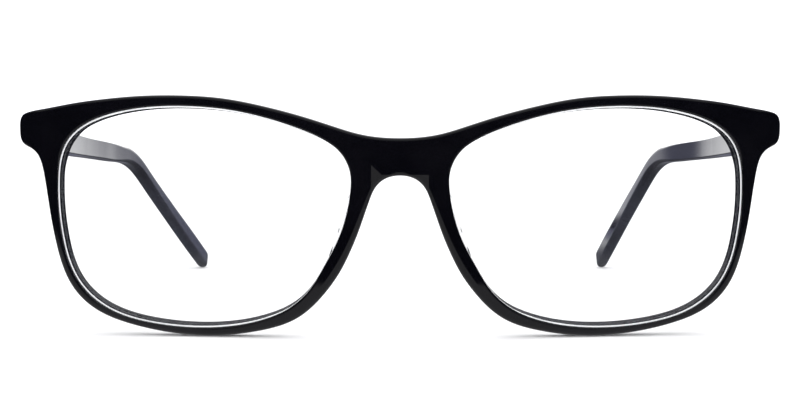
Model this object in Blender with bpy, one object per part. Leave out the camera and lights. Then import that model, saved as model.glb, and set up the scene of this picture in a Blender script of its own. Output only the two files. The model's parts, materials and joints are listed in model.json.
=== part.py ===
"""Full-rim acetate eyeglasses frame with demo lenses, standing open on a table.

Lengths below are in millimetres and become metres when a mesh is made.
+X is the wearer's left, +Y runs from the front towards the temple tips, +Z is
up. The origin lies on the table, under the middle of the whole object.

The front is drawn flat in (u, w, t): u across, w up, t from the front face to
the rear. It is then bent round a vertical axis behind it and tilted. Only its
half on the wearer's right, where u is below 0, is drawn; the other is mirrored.
"""

import math
from types import SimpleNamespace

import bmesh
import bpy
import numpy as np

for old in list(bpy.data.objects):
    bpy.data.objects.remove(old, do_unlink=True)

# --------------------------------------------------------- front: dimensions
FRONT_THICKNESS = 4.0
FACE_RADIUS = 320.0  # bend of the front round the face
FRONT_TILT = math.radians(3.0)  # top of the front leans forward
FRONT_HEIGHT = 20.4886  # height of w = 0 with the rims standing on the table

# The rear of each end piece fades to a flat plane over these spans of |u| and w,
# and only behind this depth.
MITRE_Y = 10.4
END_FLAT_U = (58.5, 62.3)
END_FLAT_W = (8.5, 12.3)
END_FLAT_DEPTH = 2.0

EDGE_ROUND_TOP = 0.9  # front outer rounding on the upper contour
EDGE_ROUND_LOW = 1.35  # the same on the lower contour
EDGE_ROUND_FADE = (-9.0, 2.0)  # span of -w over which one becomes the other
EDGE_ROUND_REAR = 0.6
FRONT_ARC = (90, 60, 30, 0)  # degrees round the front rounding
REAR_ARC = (0, 45, 90)
# The roundings are smaller on the outer corner of the end piece, which fades in
# over these spans of |u| and w.
CORNER_U = (66.5, 68.5)
CORNER_W = (11.0, 13.0)
CORNER_CUT_FRONT, CORNER_CUT_REAR = 0.35, 0.2

LIP_CHAMFER = 0.32  # front edge of each lens opening
GROOVE_FROM, GROOVE_APEX, GROOVE_TO = 0.72, 1.2, 1.68
GROOVE_DEPTH = 0.55
REAR_DRAFT = 0.07  # draft of the opening's rear wall at the sides
REAR_DRAFT_EXTRA = 0.5  # further draft at the top and bottom
REAR_CHAMFER = 0.25

# Outer contour as (u, w), from the top of the bridge round the temple side to
# the bottom of the rim and back up to the top of the nose arch.
OUTER = [
    (0.0, 15.7), (-3.6, 15.85), (-7.2, 16.4), (-12.0, 17.8), (-17.9, 19.65),
    (-25.1, 21.5), (-32.4, 22.85), (-40.0, 23.35), (-47.5, 23.25),
    (-54.5, 22.65), (-60.5, 21.85), (-66.0, 20.85), (-69.2, 20.2),
    (-70.55, 19.55), (-71.05, 18.4), (-71.1, 16.9), (-71.0, 15.5),
    (-70.4, 14.3), (-69.2, 13.6), (-68.1, 12.85), (-67.4, 11.8),
    (-66.95, 10.6), (-66.35, 7.8), (-65.85, 4.2), (-65.3, 0.2),
    (-64.55, -3.6), (-63.4, -7.8), (-61.85, -11.25), (-59.3, -14.4),
    (-55.8, -16.8), (-50.9, -18.6), (-44.5, -19.95), (-38.6, -20.6),
    (-32.8, -20.6), (-27.3, -19.9), (-22.8, -18.9), (-19.0, -17.35),
    (-15.9, -15.0), (-13.4, -12.25), (-11.25, -9.25), (-9.35, -5.65),
    (-7.8, -2.0), (-6.5, 1.6), (-5.5, 4.45), (-4.7, 6.3), (-3.5, 7.75),
    (-1.9, 8.6), (0.0, 8.87),
]
# Lens opening as (u, w), the same way round, from its corner at the bridge.
OPENING = [
    (-10.9, 13.2), (-13.5, 15.2), (-18.1, 17.3), (-23.6, 19.1), (-29.1, 20.4),
    (-36.5, 21.27), (-44.0, 21.3), (-51.6, 20.3), (-56.5, 18.8),
    (-60.0, 16.75), (-62.2, 14.2), (-63.3, 11.2), (-63.72, 6.8),
    (-63.6, 2.2), (-63.05, -2.15), (-61.9, -6.95), (-59.9, -11.0),
    (-57.1, -14.0), (-52.8, -16.55), (-46.3, -18.3), (-38.7, -19.02),
    (-31.2, -18.7), (-24.7, -17.3), (-20.1, -15.2), (-16.4, -11.8),
    (-13.6, -7.3), (-11.3, -2.9), (-9.8, 1.45), (-9.0, 5.8), (-9.0, 9.3),
]
LENS_MIDDLE = np.array((-36.3, 1.2))

# Meshing of the front
CURVE_STEPS = 24  # samples between two points of a measured curve
OUTER_POINTS = 78
BRIDGE_POINTS = 3  # between the top and the arch, on the middle line
TURN_WEIGHT = 4.2  # mm of contour that a turn of one radian counts for
SMOOTHING = 9  # samples over which the spacing is averaged
RAY_SHARE = 0.6  # opening points: share on rays from the middle, rest evenly spaced

# -------------------------------------------------------- hinge: dimensions
HINGE_X, HINGE_Y, HINGE_Z = 63.3, 12.2, 37.3
KNUCKLE_RADIUS = 1.4
KNUCKLE_HEIGHT = 1.0
KNUCKLE_GAP = 0.1
KNUCKLES = 5
HINGE_HALF = (KNUCKLES * KNUCKLE_HEIGHT + (KNUCKLES - 1) * KNUCKLE_GAP) / 2
HINGE_LOW, HINGE_HIGH = HINGE_Z - HINGE_HALF, HINGE_Z + HINGE_HALF
FIT_GAP = 0.1
POCKET_LOW, POCKET_HIGH = HINGE_LOW - FIT_GAP, HINGE_HIGH + FIT_GAP
OVERCUT = 1.0  # how far cutting tools run past what they cut

PIN_RADIUS, PIN_BORE = 0.60, 0.65
PIN_SIDES = 20
PIN_CHAMFER = 0.12
PIN_CHAMFER_FROM, PIN_END = 0.03, 0.15  # below the lowest knuckle
SCREW_HEAD_RADIUS, SCREW_HEAD_HEIGHT = 1.1, 0.6
SCREW_HEAD_GAP = 0.05  # above the highest knuckle
SCREW_HEAD_CHAMFER = 0.25  # across
SCREW_HEAD_WALL = 0.3  # height of the head's upright wall
SLOT_WIDTH, SLOT_DEPTH = 0.35, 0.3
SLOT_REACH = 2.0

# Leaf on the end piece
FRONT_PLATE_X = (62.75, 67.7)
FRONT_PLATE_Y = (MITRE_Y - 1.05, MITRE_Y - 0.05)
FRONT_POCKET_REACH = 3.0  # how far its pocket's cut runs behind the mitre
FRONT_KNUCKLES = (0, 2, 4)
# Where a knuckle runs into the plate, as (x from the pin, y from the plate's rear)
FRONT_KNUCKLE_ROOT = [(-KNUCKLE_RADIUS, 0.9), (-0.4, -0.3), (KNUCKLE_RADIUS, -0.3)]

# The two studs that key the front leaf into the end piece
STUD_X = 65.83
STUD_HEIGHTS = (HINGE_Z - 1.5, HINGE_Z + 1.5)
STUD_RADIUS = 0.55
STUD_LENGTH = 0.8  # ahead of the plate
STUD_ROOT, STUD_BORE_ROOT = 0.43, 0.37  # overlap behind the plate's front face
STUD_SIDES = 12

# Leaf on the temple
TEMPLE_INNER_X = 65.5  # flat inner face behind the hinge
PLATE_THICKNESS = 0.9
PLATE_SINK = 0.05  # plate's inner face below the temple's
TEMPLE_PLATE_Y = (12.9, 20.95)
TEMPLE_POCKET_GAP = 0.15  # round the plate's ends and outer face
TEMPLE_KNUCKLES = (1, 3)
# Where a knuckle runs into the plate, as (x from the temple's inner face, y)
TEMPLE_KNUCKLE_ROOT = [(-0.2, 12.88), (0.5, 12.95), (0.5, 14.9), (-0.3, 14.9)]

# ------------------------------------------------------- temple: dimensions
BEND_Y = 88.5  # where the temple turns down behind the ear
BEND_RADIUS = 32.0
BEND_STEPS = 7
TAIL_LENGTH = 60.9  # from the start of the bend
TAIL_STEPS = 6
TAIL_CURL = math.radians(0.7)  # further downward turn at each step of the tail

# Upper and lower edge of the temple's straight part: (y, z).
TEMPLE_UPPER = [(10.5, 40.2), (22.0, 38.3), (35.5, 36.8), (58.0, 35.6),
                (78.0, 34.7), (91.5, 33.85)]
TEMPLE_LOWER = [(10.5, 34.4), (22.0, 33.5), (35.5, 32.7), (58.0, 31.7),
                (78.0, 30.8), (91.5, 30.1)]
TEMPLE_STATIONS_Y = np.concatenate([[10.5], np.linspace(14, 34, 5),
                                    np.linspace(42, BEND_Y, 9)])
# The tail widens towards its rounded tip: (mm after the bend starts, height).
TAIL_HEIGHT = [(0.0, 3.85), (12.0, 4.05), (25.0, 4.45), (38.0, 5.1), (50.0, 5.7),
               (TAIL_LENGTH, 5.6)]
# (mm along the temple, thickness)
TEMPLE_THICKNESS = [(0, 4.0), (30, 4.0), (44, 3.75), (90, 3.4), (120, 3.0), (140, 2.9)]
# The inner face moves outwards by this much over this run.
INNER_SHIFT, INNER_SHIFT_RUN = 1.6, (30, 88)
# The inward curl of each temple (-1 is the right, 1 the left): the run it starts
# at, how gradually it sets in, and the x that it aims the middle of the tip at.
TEMPLE_CURL = {
    -1: dict(start=68.0, power=1.4, tip_x=56.0),
    1: dict(start=46.0, power=1.15, tip_x=57.0),
}
# Rounding of the section's corners, which grows over a run of the temple.
SECTION_ROUND, SECTION_ROUND_EXTRA, SECTION_ROUND_RUN = 0.40, 1.0, (55, 98)
SECTION_FLAT = 0.05  # least half flat left between two roundings
CORNER_POINTS = 3
TIP_ROUND = 2.6
TIP_ARC = (20, 42, 64)  # degrees round the tip

# Core wire and its bore: radius, sides, and ends as run from the temple's start
# and distance short of the last station.
WIRE = dict(radius=0.65, sides=8, start=3.4, short_of_tip=11.4)
WIRE_BORE = dict(radius=0.75, sides=10, start=3.2, short_of_tip=11.0)
WIRE_SHIFT, WIRE_SHIFT_RUN = -0.35, (14, 34)  # inward of mid-section by the hinge
WIRE_DROP, WIRE_DROP_RUN = 0.25, (4, 22)  # below the hinge's middle at first

# ---------------------------------------------------------- lens: dimensions
LENS_GAP = 0.08
LENS_EDGE = 1.15  # edge thickness
LENS_DOME = 0.55  # how far the middle of the lens stands ahead of its edge
LENS_FRONT = GROOVE_FROM + 0.06
# Edge from front to rear: (distance outside the opening, depth).
LENS_PROFILE = [
    (-LENS_GAP - 0.30, LENS_FRONT),
    (-LENS_GAP, GROOVE_FROM + 0.12),
    (GROOVE_DEPTH - 0.14, GROOVE_APEX),
    (-LENS_GAP, GROOVE_TO - 0.08),
    (-LENS_GAP - 0.14, LENS_FRONT + LENS_EDGE),
]
LENS_RING_SHARES = (0.82, 0.6, 0.36, 0.14)  # size of each ring inside the edge

# ------------------------------------------------------ nose pad: dimensions
# Centre line on the rear of the nasal rim, top to bottom: (u, w).
PAD_LINE = [(-7.35, 6.6), (-7.75, 3.6), (-8.7, 0.2), (-10.1, -3.6), (-11.9, -7.6)]
PAD_STATIONS = 9
PAD_HEIGHT = 4.2  # how far the pad stands behind the rim
PAD_GAP = 0.05
# (mm across the rim with + towards the lens, share of the height behind the rim)
PAD_SECTION = [(-1.25, 0.0), (0.55, 0.0), (1.75, 0.30), (2.35, 0.42), (2.30, 0.70),
               (1.85, 0.92), (1.30, 1.0), (-1.45, 0.34), (-1.60, 0.16)]
PAD_FACE_POINTS = (6, 7)  # section points that lie on the flat face
# Fall-off of the section's size towards the ends, and the share of its width
# that does not shrink.
PAD_TAPER_POWER, PAD_TAPER, PAD_LEAST_WIDTH = 2.6, 0.94, 0.55
# The flat face that bears on the nose: a point on it and its two slopes.
PAD_FACE_X, PAD_FACE_Y, PAD_FACE_Z = 9.7, 6.35, 18.5
PAD_SLOPE_X, PAD_SLOPE_Z = 0.78, 0.10

# ----------------------------------------------------------------- materials
BLACK_ACETATE = dict(colour=(0.0045, 0.0043, 0.006), roughness=0.09, ior=1.49)
CLEAR_LENS = dict(colour=(0.94, 0.96, 0.97), roughness=0.02, transmission=1.0)
CLEAR_ACETATE = dict(colour=(0.90, 0.91, 0.92), roughness=0.06, transmission=0.9,
                     ior=1.49)
HINGE_METAL = dict(colour=(0.55, 0.53, 0.50), roughness=0.28, metallic=1.0)
SCREW_METAL = dict(colour=(0.62, 0.61, 0.60), roughness=0.22, metallic=1.0)
WIRE_METAL = dict(colour=(0.58, 0.55, 0.50), roughness=0.35, metallic=1.0)


def make_material(name, colour, roughness, metallic=0.0, transmission=0.0, ior=1.5):
    made = bpy.data.materials.new(name)
    made.use_nodes = True
    shader = made.node_tree.nodes["Principled BSDF"]
    shader.inputs["Base Color"].default_value = (*colour, 1)
    shader.inputs["Roughness"].default_value = roughness
    shader.inputs["Metallic"].default_value = metallic
    shader.inputs["Transmission Weight"].default_value = transmission
    shader.inputs["IOR"].default_value = ior
    made.diffuse_color = (*colour, 1)
    return made


# -------------------------------------------------------------------- curves
def smoothstep(x, start, end):
    share = np.clip((np.asarray(x, float) - start) / (end - start), 0.0, 1.0)
    return share * share * (3.0 - 2.0 * share)


def unit_rows(vectors):
    return vectors / np.linalg.norm(vectors, axis=1)[:, None]


def running_length(points):
    steps = np.linalg.norm(np.diff(points, axis=0), axis=1)
    return np.concatenate([[0], np.cumsum(steps)])


def sample(at, along, rows):
    """Two-column rows, interpolated at the given places along them."""
    return np.stack([np.interp(at, along, rows[:, k]) for k in (0, 1)], axis=1)


def closed(rows):
    return np.vstack([rows, rows[:1]])


def cubic(points, is_closed):
    """A C2 cubic through the points, densely sampled."""
    knots = np.array(points, float)
    if is_closed:
        knots = closed(knots)
    gap = np.linalg.norm(np.diff(knots, axis=0), axis=1)
    rise = np.diff(knots, axis=0) / gap[:, None]
    count = len(knots)
    matrix = np.zeros((count, count))
    target = np.zeros(knots.shape)
    for i in range(1, count - 1):
        matrix[i, i - 1:i + 2] = gap[i - 1], 2 * (gap[i - 1] + gap[i]), gap[i]
        target[i] = 6 * (rise[i] - rise[i - 1])
    if is_closed:
        matrix[0, 0], matrix[0, -1] = 1, -1
        matrix[-1, 0], matrix[-1, 1] = 2 * (gap[0] + gap[-1]), gap[0]
        matrix[-1, -2] = gap[-1]
        target[-1] = 6 * (rise[0] - rise[-1])
    else:
        matrix[0, 0] = matrix[-1, -1] = 1
    second = np.linalg.solve(matrix, target)  # second derivative at each knot
    curve = []
    for i in range(count - 1):
        for k in range(CURVE_STEPS):
            done = gap[i] * k / CURVE_STEPS
            left = gap[i] - done
            curve.append(
                (second[i] * left**3 + second[i + 1] * done**3) / (6 * gap[i])
                + (knots[i] / gap[i] - second[i] * gap[i] / 6) * left
                + (knots[i + 1] / gap[i] - second[i + 1] * gap[i] / 6) * done
            )
    if not is_closed:
        curve.append(knots[-1])
    return np.array(curve)


def ring_tangents(ring):
    return unit_rows(np.roll(ring, -1, axis=0) - np.roll(ring, 1, axis=0))


# -------------------------------------------------------------------- shapes
# A shape is a pair: vertices and faces.
def loft(rings):
    """Equal rings joined in order, with flat caps on the ends."""
    sides = len(rings[0])
    vertices = [point for ring in rings for point in ring]
    faces = []
    for first in range(0, len(vertices) - sides, sides):
        for k in range(sides):
            a, b = first + k, first + (k + 1) % sides
            faces.append((a, b, b + sides, a + sides))
    faces.append(tuple(range(sides)))
    faces.append(tuple(range(len(vertices) - sides, len(vertices)))[::-1])
    return vertices, faces


def prism(outline, low, high):
    """A vertical prism on an outline in (x, y)."""
    return loft([[(x, y, z) for x, y in outline] for z in (low, high)])


def box(x_span, y_span, z_span):
    corners = [(x, y, z) for x in sorted(x_span) for y in y_span for z in z_span]
    faces = [(0, 1, 3, 2), (4, 6, 7, 5), (0, 4, 5, 1), (2, 3, 7, 6), (0, 2, 6, 4),
             (1, 5, 7, 3)]
    return corners, faces


def tube(path, radius, sides):
    path = np.array(path, float)
    rings = []
    for point, ahead in zip(path, unit_rows(np.gradient(path, axis=0))):
        across = np.cross(ahead, (0, 0, 1.0))
        across /= np.linalg.norm(across)
        up = np.cross(across, ahead)
        angles = [2 * math.pi * k / sides for k in range(sides)]
        rings.append([point + radius * (math.cos(q) * across + math.sin(q) * up)
                      for q in angles])
    return loft(rings)


def circle(x, y, radius, sides):
    angles = [2 * math.pi * i / sides for i in range(sides)]
    return [(x + radius * math.cos(q), y + radius * math.sin(q)) for q in angles]


# ------------------------------------------------------------------- objects
def mesh_object(name, shape, material=None, origin=(0, 0, 0), smooth=True):
    """An object whose own origin is at the given place."""
    vertices, faces = shape
    origin = np.array(origin, float)
    mesh = bpy.data.meshes.new(name)
    mesh.from_pydata([tuple((np.array(v) - origin) / 1000) for v in vertices], [], faces)
    bm = bmesh.new()
    bm.from_mesh(mesh)
    bmesh.ops.remove_doubles(bm, verts=bm.verts, dist=2e-6)
    bmesh.ops.triangulate(bm, faces=bm.faces, quad_method="SHORT_EDGE")
    bmesh.ops.recalc_face_normals(bm, faces=bm.faces)
    if bm.calc_volume(signed=True) < 0:
        bmesh.ops.reverse_faces(bm, faces=bm.faces)
    bm.to_mesh(mesh)
    bm.free()
    for polygon in mesh.polygons:
        polygon.use_smooth = smooth
    obj = bpy.data.objects.new(name, mesh)
    obj.location = tuple(origin / 1000)
    bpy.context.scene.collection.objects.link(obj)
    if material:
        mesh.materials.append(material)
    if smooth:
        mesh.set_sharp_from_angle(angle=math.radians(38))
    return obj


def helper(name, shape):
    """A faceted object that only serves as a Boolean tool."""
    return mesh_object(name, shape, smooth=False)


def combine(target, tools, operation):
    """Unites the tools with the target, or cuts them from it, and hides them."""
    for k, tool in enumerate(tools):
        step = target.modifiers.new(f"{operation.lower()}_{k}", "BOOLEAN")
        step.operation = operation
        step.solver = "EXACT"
        step.object = tool
        tool.hide_render = True
        tool.display_type = "WIRE"


# --------------------------------------------------------------------- front
def bend(u, w, t, mirror=1):
    """Flat front coordinates to (x, y, z): the bend round the face, the tilt,
    and the flat rear of the end piece. A mirror of -1 gives the other half."""
    angle = u / FACE_RADIUS

    def place(depth):
        x = (FACE_RADIUS - depth) * math.sin(angle)
        y = FACE_RADIUS - (FACE_RADIUS - depth) * math.cos(angle)
        return (
            x,
            y * math.cos(FRONT_TILT) - w * math.sin(FRONT_TILT),
            FRONT_HEIGHT + w * math.cos(FRONT_TILT) + y * math.sin(FRONT_TILT),
        )

    x, y, z = place(t)
    flat = smoothstep(abs(u), *END_FLAT_U) * smoothstep(w, *END_FLAT_W)
    if flat > 0 and t > END_FLAT_DEPTH:
        share = ((t - END_FLAT_DEPTH) / (FRONT_THICKNESS - END_FLAT_DEPTH)) ** 2
        y += flat * share * (MITRE_Y - place(FRONT_THICKNESS)[1])
    return mirror * x, y, z


def outer_half():
    """The outer contour from the top of the bridge to the arch: closer points
    where it curves more. Returns points and unit normals into the front."""
    mirrored = [(-u, w) for u, w in OUTER[-2:0:-1]]
    ring = cubic(OUTER + mirrored, True)
    half = ring[: (len(OUTER) - 1) * CURVE_STEPS + 1]
    tangent = ring_tangents(ring)[: len(half)]
    inward = np.stack([-tangent[:, 1], tangent[:, 0]], axis=1)
    inward[0], inward[-1] = (0, -1), (0, 1)
    step = np.linalg.norm(np.diff(half, axis=0), axis=1)
    turn = np.arccos(np.clip((tangent[1:] * tangent[:-1]).sum(axis=1), -1, 1))
    weight = np.convolve(np.sqrt(step**2 + (turn * TURN_WEIGHT) ** 2),
                         np.ones(SMOOTHING) / SMOOTHING, "same")
    along = np.concatenate([[0], np.cumsum(weight)])
    at = np.linspace(0, along[-1], OUTER_POINTS)
    points = sample(at, along, half)
    points[0], points[-1] = half[0], half[-1]
    return points, unit_rows(sample(at, along, inward))


def outer_rings(outer, inward):
    """The outer wall from the front face to the rear face, as (points, depths)."""
    low = smoothstep(-outer[:, 1], *EDGE_ROUND_FADE)
    corner = smoothstep(-outer[:, 0], *CORNER_U) * smoothstep(outer[:, 1], *CORNER_W)
    front = EDGE_ROUND_TOP + (EDGE_ROUND_LOW - EDGE_ROUND_TOP) * low
    front = front * (1 - CORNER_CUT_FRONT * corner)
    rear = EDGE_ROUND_REAR * (1 - CORNER_CUT_REAR * corner)
    rings = []
    for radius, degrees, is_rear in ((front, FRONT_ARC, False), (rear, REAR_ARC, True)):
        for angle in np.radians(degrees):
            depth = radius * (1 - math.sin(angle))
            rings.append((outer + inward * (radius * (1 - math.cos(angle)))[:, None],
                          FRONT_THICKNESS - depth if is_rear else depth))
    return rings


def bridge_line(ring):
    """Points on the middle line from the ring's arch end back up to its top."""
    top, arch = ring[0], ring[-1]
    return [arch + (top - arch) * (k + 1) / (BRIDGE_POINTS + 1)
            for k in range(BRIDGE_POINTS)]


def opening_loop(targets):
    """A point of the lens opening for each target on the outer loop, with unit
    normals out of the opening."""
    ring = cubic(OPENING, True)
    closed_ring = closed(ring)
    length = running_length(closed_ring)
    total = length[-1]
    full = 2 * math.pi

    def angles(points):
        across, up = (points - LENS_MIDDLE).T
        return np.unwrap(np.arctan2(up, across))

    angle, wanted = angles(closed_ring), angles(np.array(targets))
    wanted += full * round((angle[0] - wanted[0]) / full)
    turns = np.concatenate([angle[:-1] - full, angle[:-1], angle + full])
    runs = np.concatenate([length[:-1] - total, length[:-1], length + total])
    on_ray = np.interp(np.maximum.accumulate(wanted), turns, runs)
    even = on_ray[0] + total * np.arange(len(wanted)) / len(wanted)
    at = np.mod(RAY_SHARE * on_ray + (1 - RAY_SHARE) * even, total)
    tangent = ring_tangents(ring)
    outward = np.stack([tangent[:, 1], -tangent[:, 0]], axis=1)
    return sample(at, length, closed_ring), unit_rows(sample(at, length, closed(outward)))


def opening_rings(points, outward):
    """The wall of a lens opening from front to rear, as (points, depth)."""
    draft = REAR_DRAFT + REAR_DRAFT_EXTRA * outward[:, 1:] ** 4
    profile = [
        (LIP_CHAMFER, 0.0),
        (0.0, LIP_CHAMFER),
        (0.0, GROOVE_FROM),
        (GROOVE_DEPTH, GROOVE_APEX),
        (0.0, GROOVE_TO),
        (-draft, FRONT_THICKNESS - REAR_CHAMFER),
        (-draft + REAR_CHAMFER, FRONT_THICKNESS),
    ]
    return [(points + outward * offset, depth) for offset, depth in profile]


def build_front():
    outer, inward = outer_half()
    walls = outer_rings(outer, inward)
    opening, outward = opening_loop(list(outer) + bridge_line(outer))
    count = len(opening)
    vertices, faces = [], []

    def add(ring, depth):
        first = len(vertices)
        for (u, w), t in zip(ring, np.broadcast_to(depth, len(ring))):
            vertices.append(bend(u, w, t))
        return first

    outer_first = [add(ring, depth) for ring, depth in walls]
    inner_first = [add(ring, depth) for ring, depth in opening_rings(opening, outward)]
    front_line = add(bridge_line(walls[0][0]), 0.0)
    rear_line = add(bridge_line(walls[-1][0]), FRONT_THICKNESS)

    def on_loop(first, line, i):
        """Vertex i of the loop made of an outer ring and a middle line."""
        i %= count
        return first + i if i < OUTER_POINTS else line + i - OUTER_POINTS

    for a, b in zip(outer_first, outer_first[1:]):
        for i in range(OUTER_POINTS - 1):
            faces.append((a + i, b + i, b + i + 1, a + i + 1))
    for a, b in zip(inner_first, inner_first[1:]):
        for i in range(count):
            j = (i + 1) % count
            faces.append((a + i, a + j, b + j, b + i))
    # Front and rear faces, between the outer loop and the opening
    for i in range(count):
        j = (i + 1) % count
        faces.append((on_loop(outer_first[0], front_line, i),
                      on_loop(outer_first[0], front_line, j),
                      inner_first[0] + j, inner_first[0] + i))
        faces.append((on_loop(outer_first[-1], rear_line, j),
                      on_loop(outer_first[-1], rear_line, i),
                      inner_first[-1] + i, inner_first[-1] + j))
    half = len(vertices)
    vertices += [(-x, y, z) for x, y, z in vertices]
    faces += [tuple(half + i for i in reversed(face)) for face in faces]
    front = mesh_object("front_frame", (vertices, faces),
                        make_material("black_acetate_front", **BLACK_ACETATE))
    return front, opening, outward


# ---------------------------------------------------------- lenses, nose pads
def build_lens(name, mirror, opening, outward):
    points, normals = opening[::2], outward[::2]

    def place(ring, depth):
        return [bend(u, w, depth, mirror) for u, w in ring]

    def domed(share, depth):
        ring = LENS_MIDDLE + (points - normals * LENS_GAP - LENS_MIDDLE) * share
        return place(ring, depth - LENS_DOME * (1 - share**2))

    rings = [domed(share, LENS_PROFILE[0][1]) for share in reversed(LENS_RING_SHARES)]
    rings += [place(points + normals * offset, depth) for offset, depth in LENS_PROFILE]
    rings += [domed(share, LENS_PROFILE[-1][1]) for share in LENS_RING_SHARES]
    mesh_object(name, loft(rings), make_material("demo_" + name, **CLEAR_LENS),
                origin=bend(*LENS_MIDDLE, GROOVE_APEX, mirror))


def pad_face_y(x, z):
    return (PAD_FACE_Y + (abs(x) - PAD_FACE_X) * PAD_SLOPE_X
            + (z - PAD_FACE_Z) * PAD_SLOPE_Z)


def build_pad(name, mirror):
    line = cubic(PAD_LINE, False)
    tangent = unit_rows(np.gradient(line, axis=0))
    picked = np.linspace(0, len(line) - 1, PAD_STATIONS).astype(int)
    rings = []
    for station, i in enumerate(picked):
        along = 2.0 * station / (PAD_STATIONS - 1) - 1.0
        size = math.sqrt(1.0 - abs(along) ** PAD_TAPER_POWER * PAD_TAPER)
        width = PAD_LEAST_WIDTH + (1 - PAD_LEAST_WIDTH) * size
        to_lens = np.array([tangent[i][1], -tangent[i][0]])
        if to_lens[0] > 0:
            to_lens = -to_lens
        ring = []
        for k, (across, behind) in enumerate(PAD_SECTION):
            u, w = line[i] + to_lens * across * width
            t = FRONT_THICKNESS + PAD_GAP + behind * PAD_HEIGHT * size
            x, y, z = bend(u, w, t, mirror)
            if k in PAD_FACE_POINTS and 0 < station < PAD_STATIONS - 1:
                y = pad_face_y(x, z)
            ring.append((x, y, z))
        rings.append(ring)
    mesh_object(name, loft(rings), make_material("clear_" + name, **CLEAR_ACETATE),
                origin=bend(*line[len(line) // 2], FRONT_THICKNESS, mirror))


# -------------------------------------------------------------------- temple
def tail(start, slope, turn):
    """The bend behind the ear and the tail after it: (y, z) points, pitches."""
    points, pitches = [], []
    point, pitch = start, slope
    step = turn / BEND_STEPS
    for _ in range(BEND_STEPS):
        pitch -= step
        middle = pitch + step / 2
        point = point + BEND_RADIUS * step * np.array([math.cos(middle), math.sin(middle)])
        points.append(point)
        pitches.append(pitch)
    step = (TAIL_LENGTH - BEND_RADIUS * turn) / TAIL_STEPS
    for _ in range(TAIL_STEPS):
        pitch -= TAIL_CURL
        point = point + step * np.array([math.cos(pitch), math.sin(pitch)])
        points.append(point)
        pitches.append(pitch)
    return points, pitches


def temple_path(side, turn):
    """Stations along a temple: run, y, z, pitch, height, thickness, centre x."""
    upper, lower = cubic(TEMPLE_UPPER, False), cubic(TEMPLE_LOWER, False)
    top = np.interp(TEMPLE_STATIONS_Y, upper[:, 0], upper[:, 1])
    low = np.interp(TEMPLE_STATIONS_Y, lower[:, 0], lower[:, 1])
    centre = np.stack([TEMPLE_STATIONS_Y, (top + low) / 2], axis=1)
    last = len(centre) - 1
    pitch = [0.0]
    for i in range(1, last + 1):
        y_ahead, z_ahead = centre[min(i + 1, last)] - centre[i - 1]
        pitch.append(math.atan2(z_ahead, y_ahead))
    y_ahead, z_ahead = centre[last] - centre[last - 2]
    tail_points, tail_pitch = tail(centre[last], math.atan2(z_ahead, y_ahead), turn)
    path = np.vstack([centre, tail_points])
    run = running_length(path)
    tail_height = np.interp(run[last + 1:] - run[last], *zip(*TAIL_HEIGHT))
    thickness = np.interp(run, *zip(*TEMPLE_THICKNESS))
    inner = TEMPLE_INNER_X + INNER_SHIFT * smoothstep(run, *INNER_SHIFT_RUN)
    centre_x = inner + thickness / 2
    curl = TEMPLE_CURL[side]
    share = np.clip((run - curl["start"]) / (run[-1] - curl["start"]), 0, 1)
    centre_x = centre_x - (centre_x[last] - curl["tip_x"]) * share ** curl["power"]
    return SimpleNamespace(run=run, y=path[:, 0], z=path[:, 1], pitch=pitch + tail_pitch,
                           height=np.concatenate([top - low, tail_height]),
                           thickness=thickness, centre_x=centre_x)


def section_loop(height, thickness, radius):
    """A rounded rectangle, (across, up), anticlockwise."""
    radius = min(radius, height / 2 - SECTION_FLAT, thickness / 2 - SECTION_FLAT)
    loop = []
    for across, up, start in ((1, 1, 0), (-1, 1, 90), (-1, -1, 180), (1, -1, 270)):
        for k in range(CORNER_POINTS):
            angle = math.radians(start + 90 * k / (CORNER_POINTS - 1))
            loop.append((across * (thickness / 2 - radius) + radius * math.cos(angle),
                         up * (height / 2 - radius) + radius * math.sin(angle)))
    return loop


def temple_shell(side, turn):
    path = temple_path(side, turn)
    sideways = np.concatenate([[0], np.diff(path.centre_x) / np.diff(path.run)])
    last = len(path.run) - 1
    # Each ring: station, size, and distance beyond the station.
    stations = [(i, 1.0, 0.0) for i in range(last + 1)]
    for degrees in TIP_ARC:
        sine = math.sin(math.radians(degrees))
        stations.append((last, math.sqrt(1 - sine**2), sine * TIP_ROUND))
    rings = []
    for i, size, beyond in stations:
        y_ahead, z_ahead = math.cos(path.pitch[i]), math.sin(path.pitch[i])
        x = path.centre_x[i] + sideways[i] * beyond
        radius = SECTION_ROUND + SECTION_ROUND_EXTRA * smoothstep(path.run[i],
                                                                 *SECTION_ROUND_RUN)
        loop = section_loop(path.height[i] * size, path.thickness[i] * size, radius * size)
        # The section stands square to the path, in plan as well.
        rings.append([
            (side * (x + across),
             path.y[i] + y_ahead * beyond - z_ahead * up - sideways[i] * across,
             path.z[i] + z_ahead * beyond + y_ahead * up)
            for across, up in loop
        ])
    return loft(rings)


def solved_turn():
    """The bend angle that puts the lowest point of the tip on the table."""
    low, high = math.radians(15), math.radians(60)
    for _ in range(40):
        middle = (low + high) / 2
        vertices, _ = temple_shell(1, middle)
        if min(z for x, y, z in vertices) > 0:
            low = middle
        else:
            high = middle
    return low


def wire_tube(side, turn, radius, sides, start, short_of_tip):
    """A tube along the core wire: by the leaf at first, then mid-section."""
    path = temple_path(side, turn)
    run = np.concatenate([np.linspace(start, 36, 7),
                          np.linspace(46, path.run[-1] - short_of_tip, 20)])
    x = np.interp(run, path.run, path.centre_x)
    y = np.interp(run, path.run, path.y)
    z = np.interp(run, path.run, path.z)
    x = x + WIRE_SHIFT * (1 - smoothstep(run, *WIRE_SHIFT_RUN))
    near = 1 - smoothstep(run, *WIRE_DROP_RUN)
    z = z * (1 - near) + (HINGE_Z - WIRE_DROP) * near
    return tube(np.stack([side * x, y, z], axis=1), radius, sides)


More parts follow.
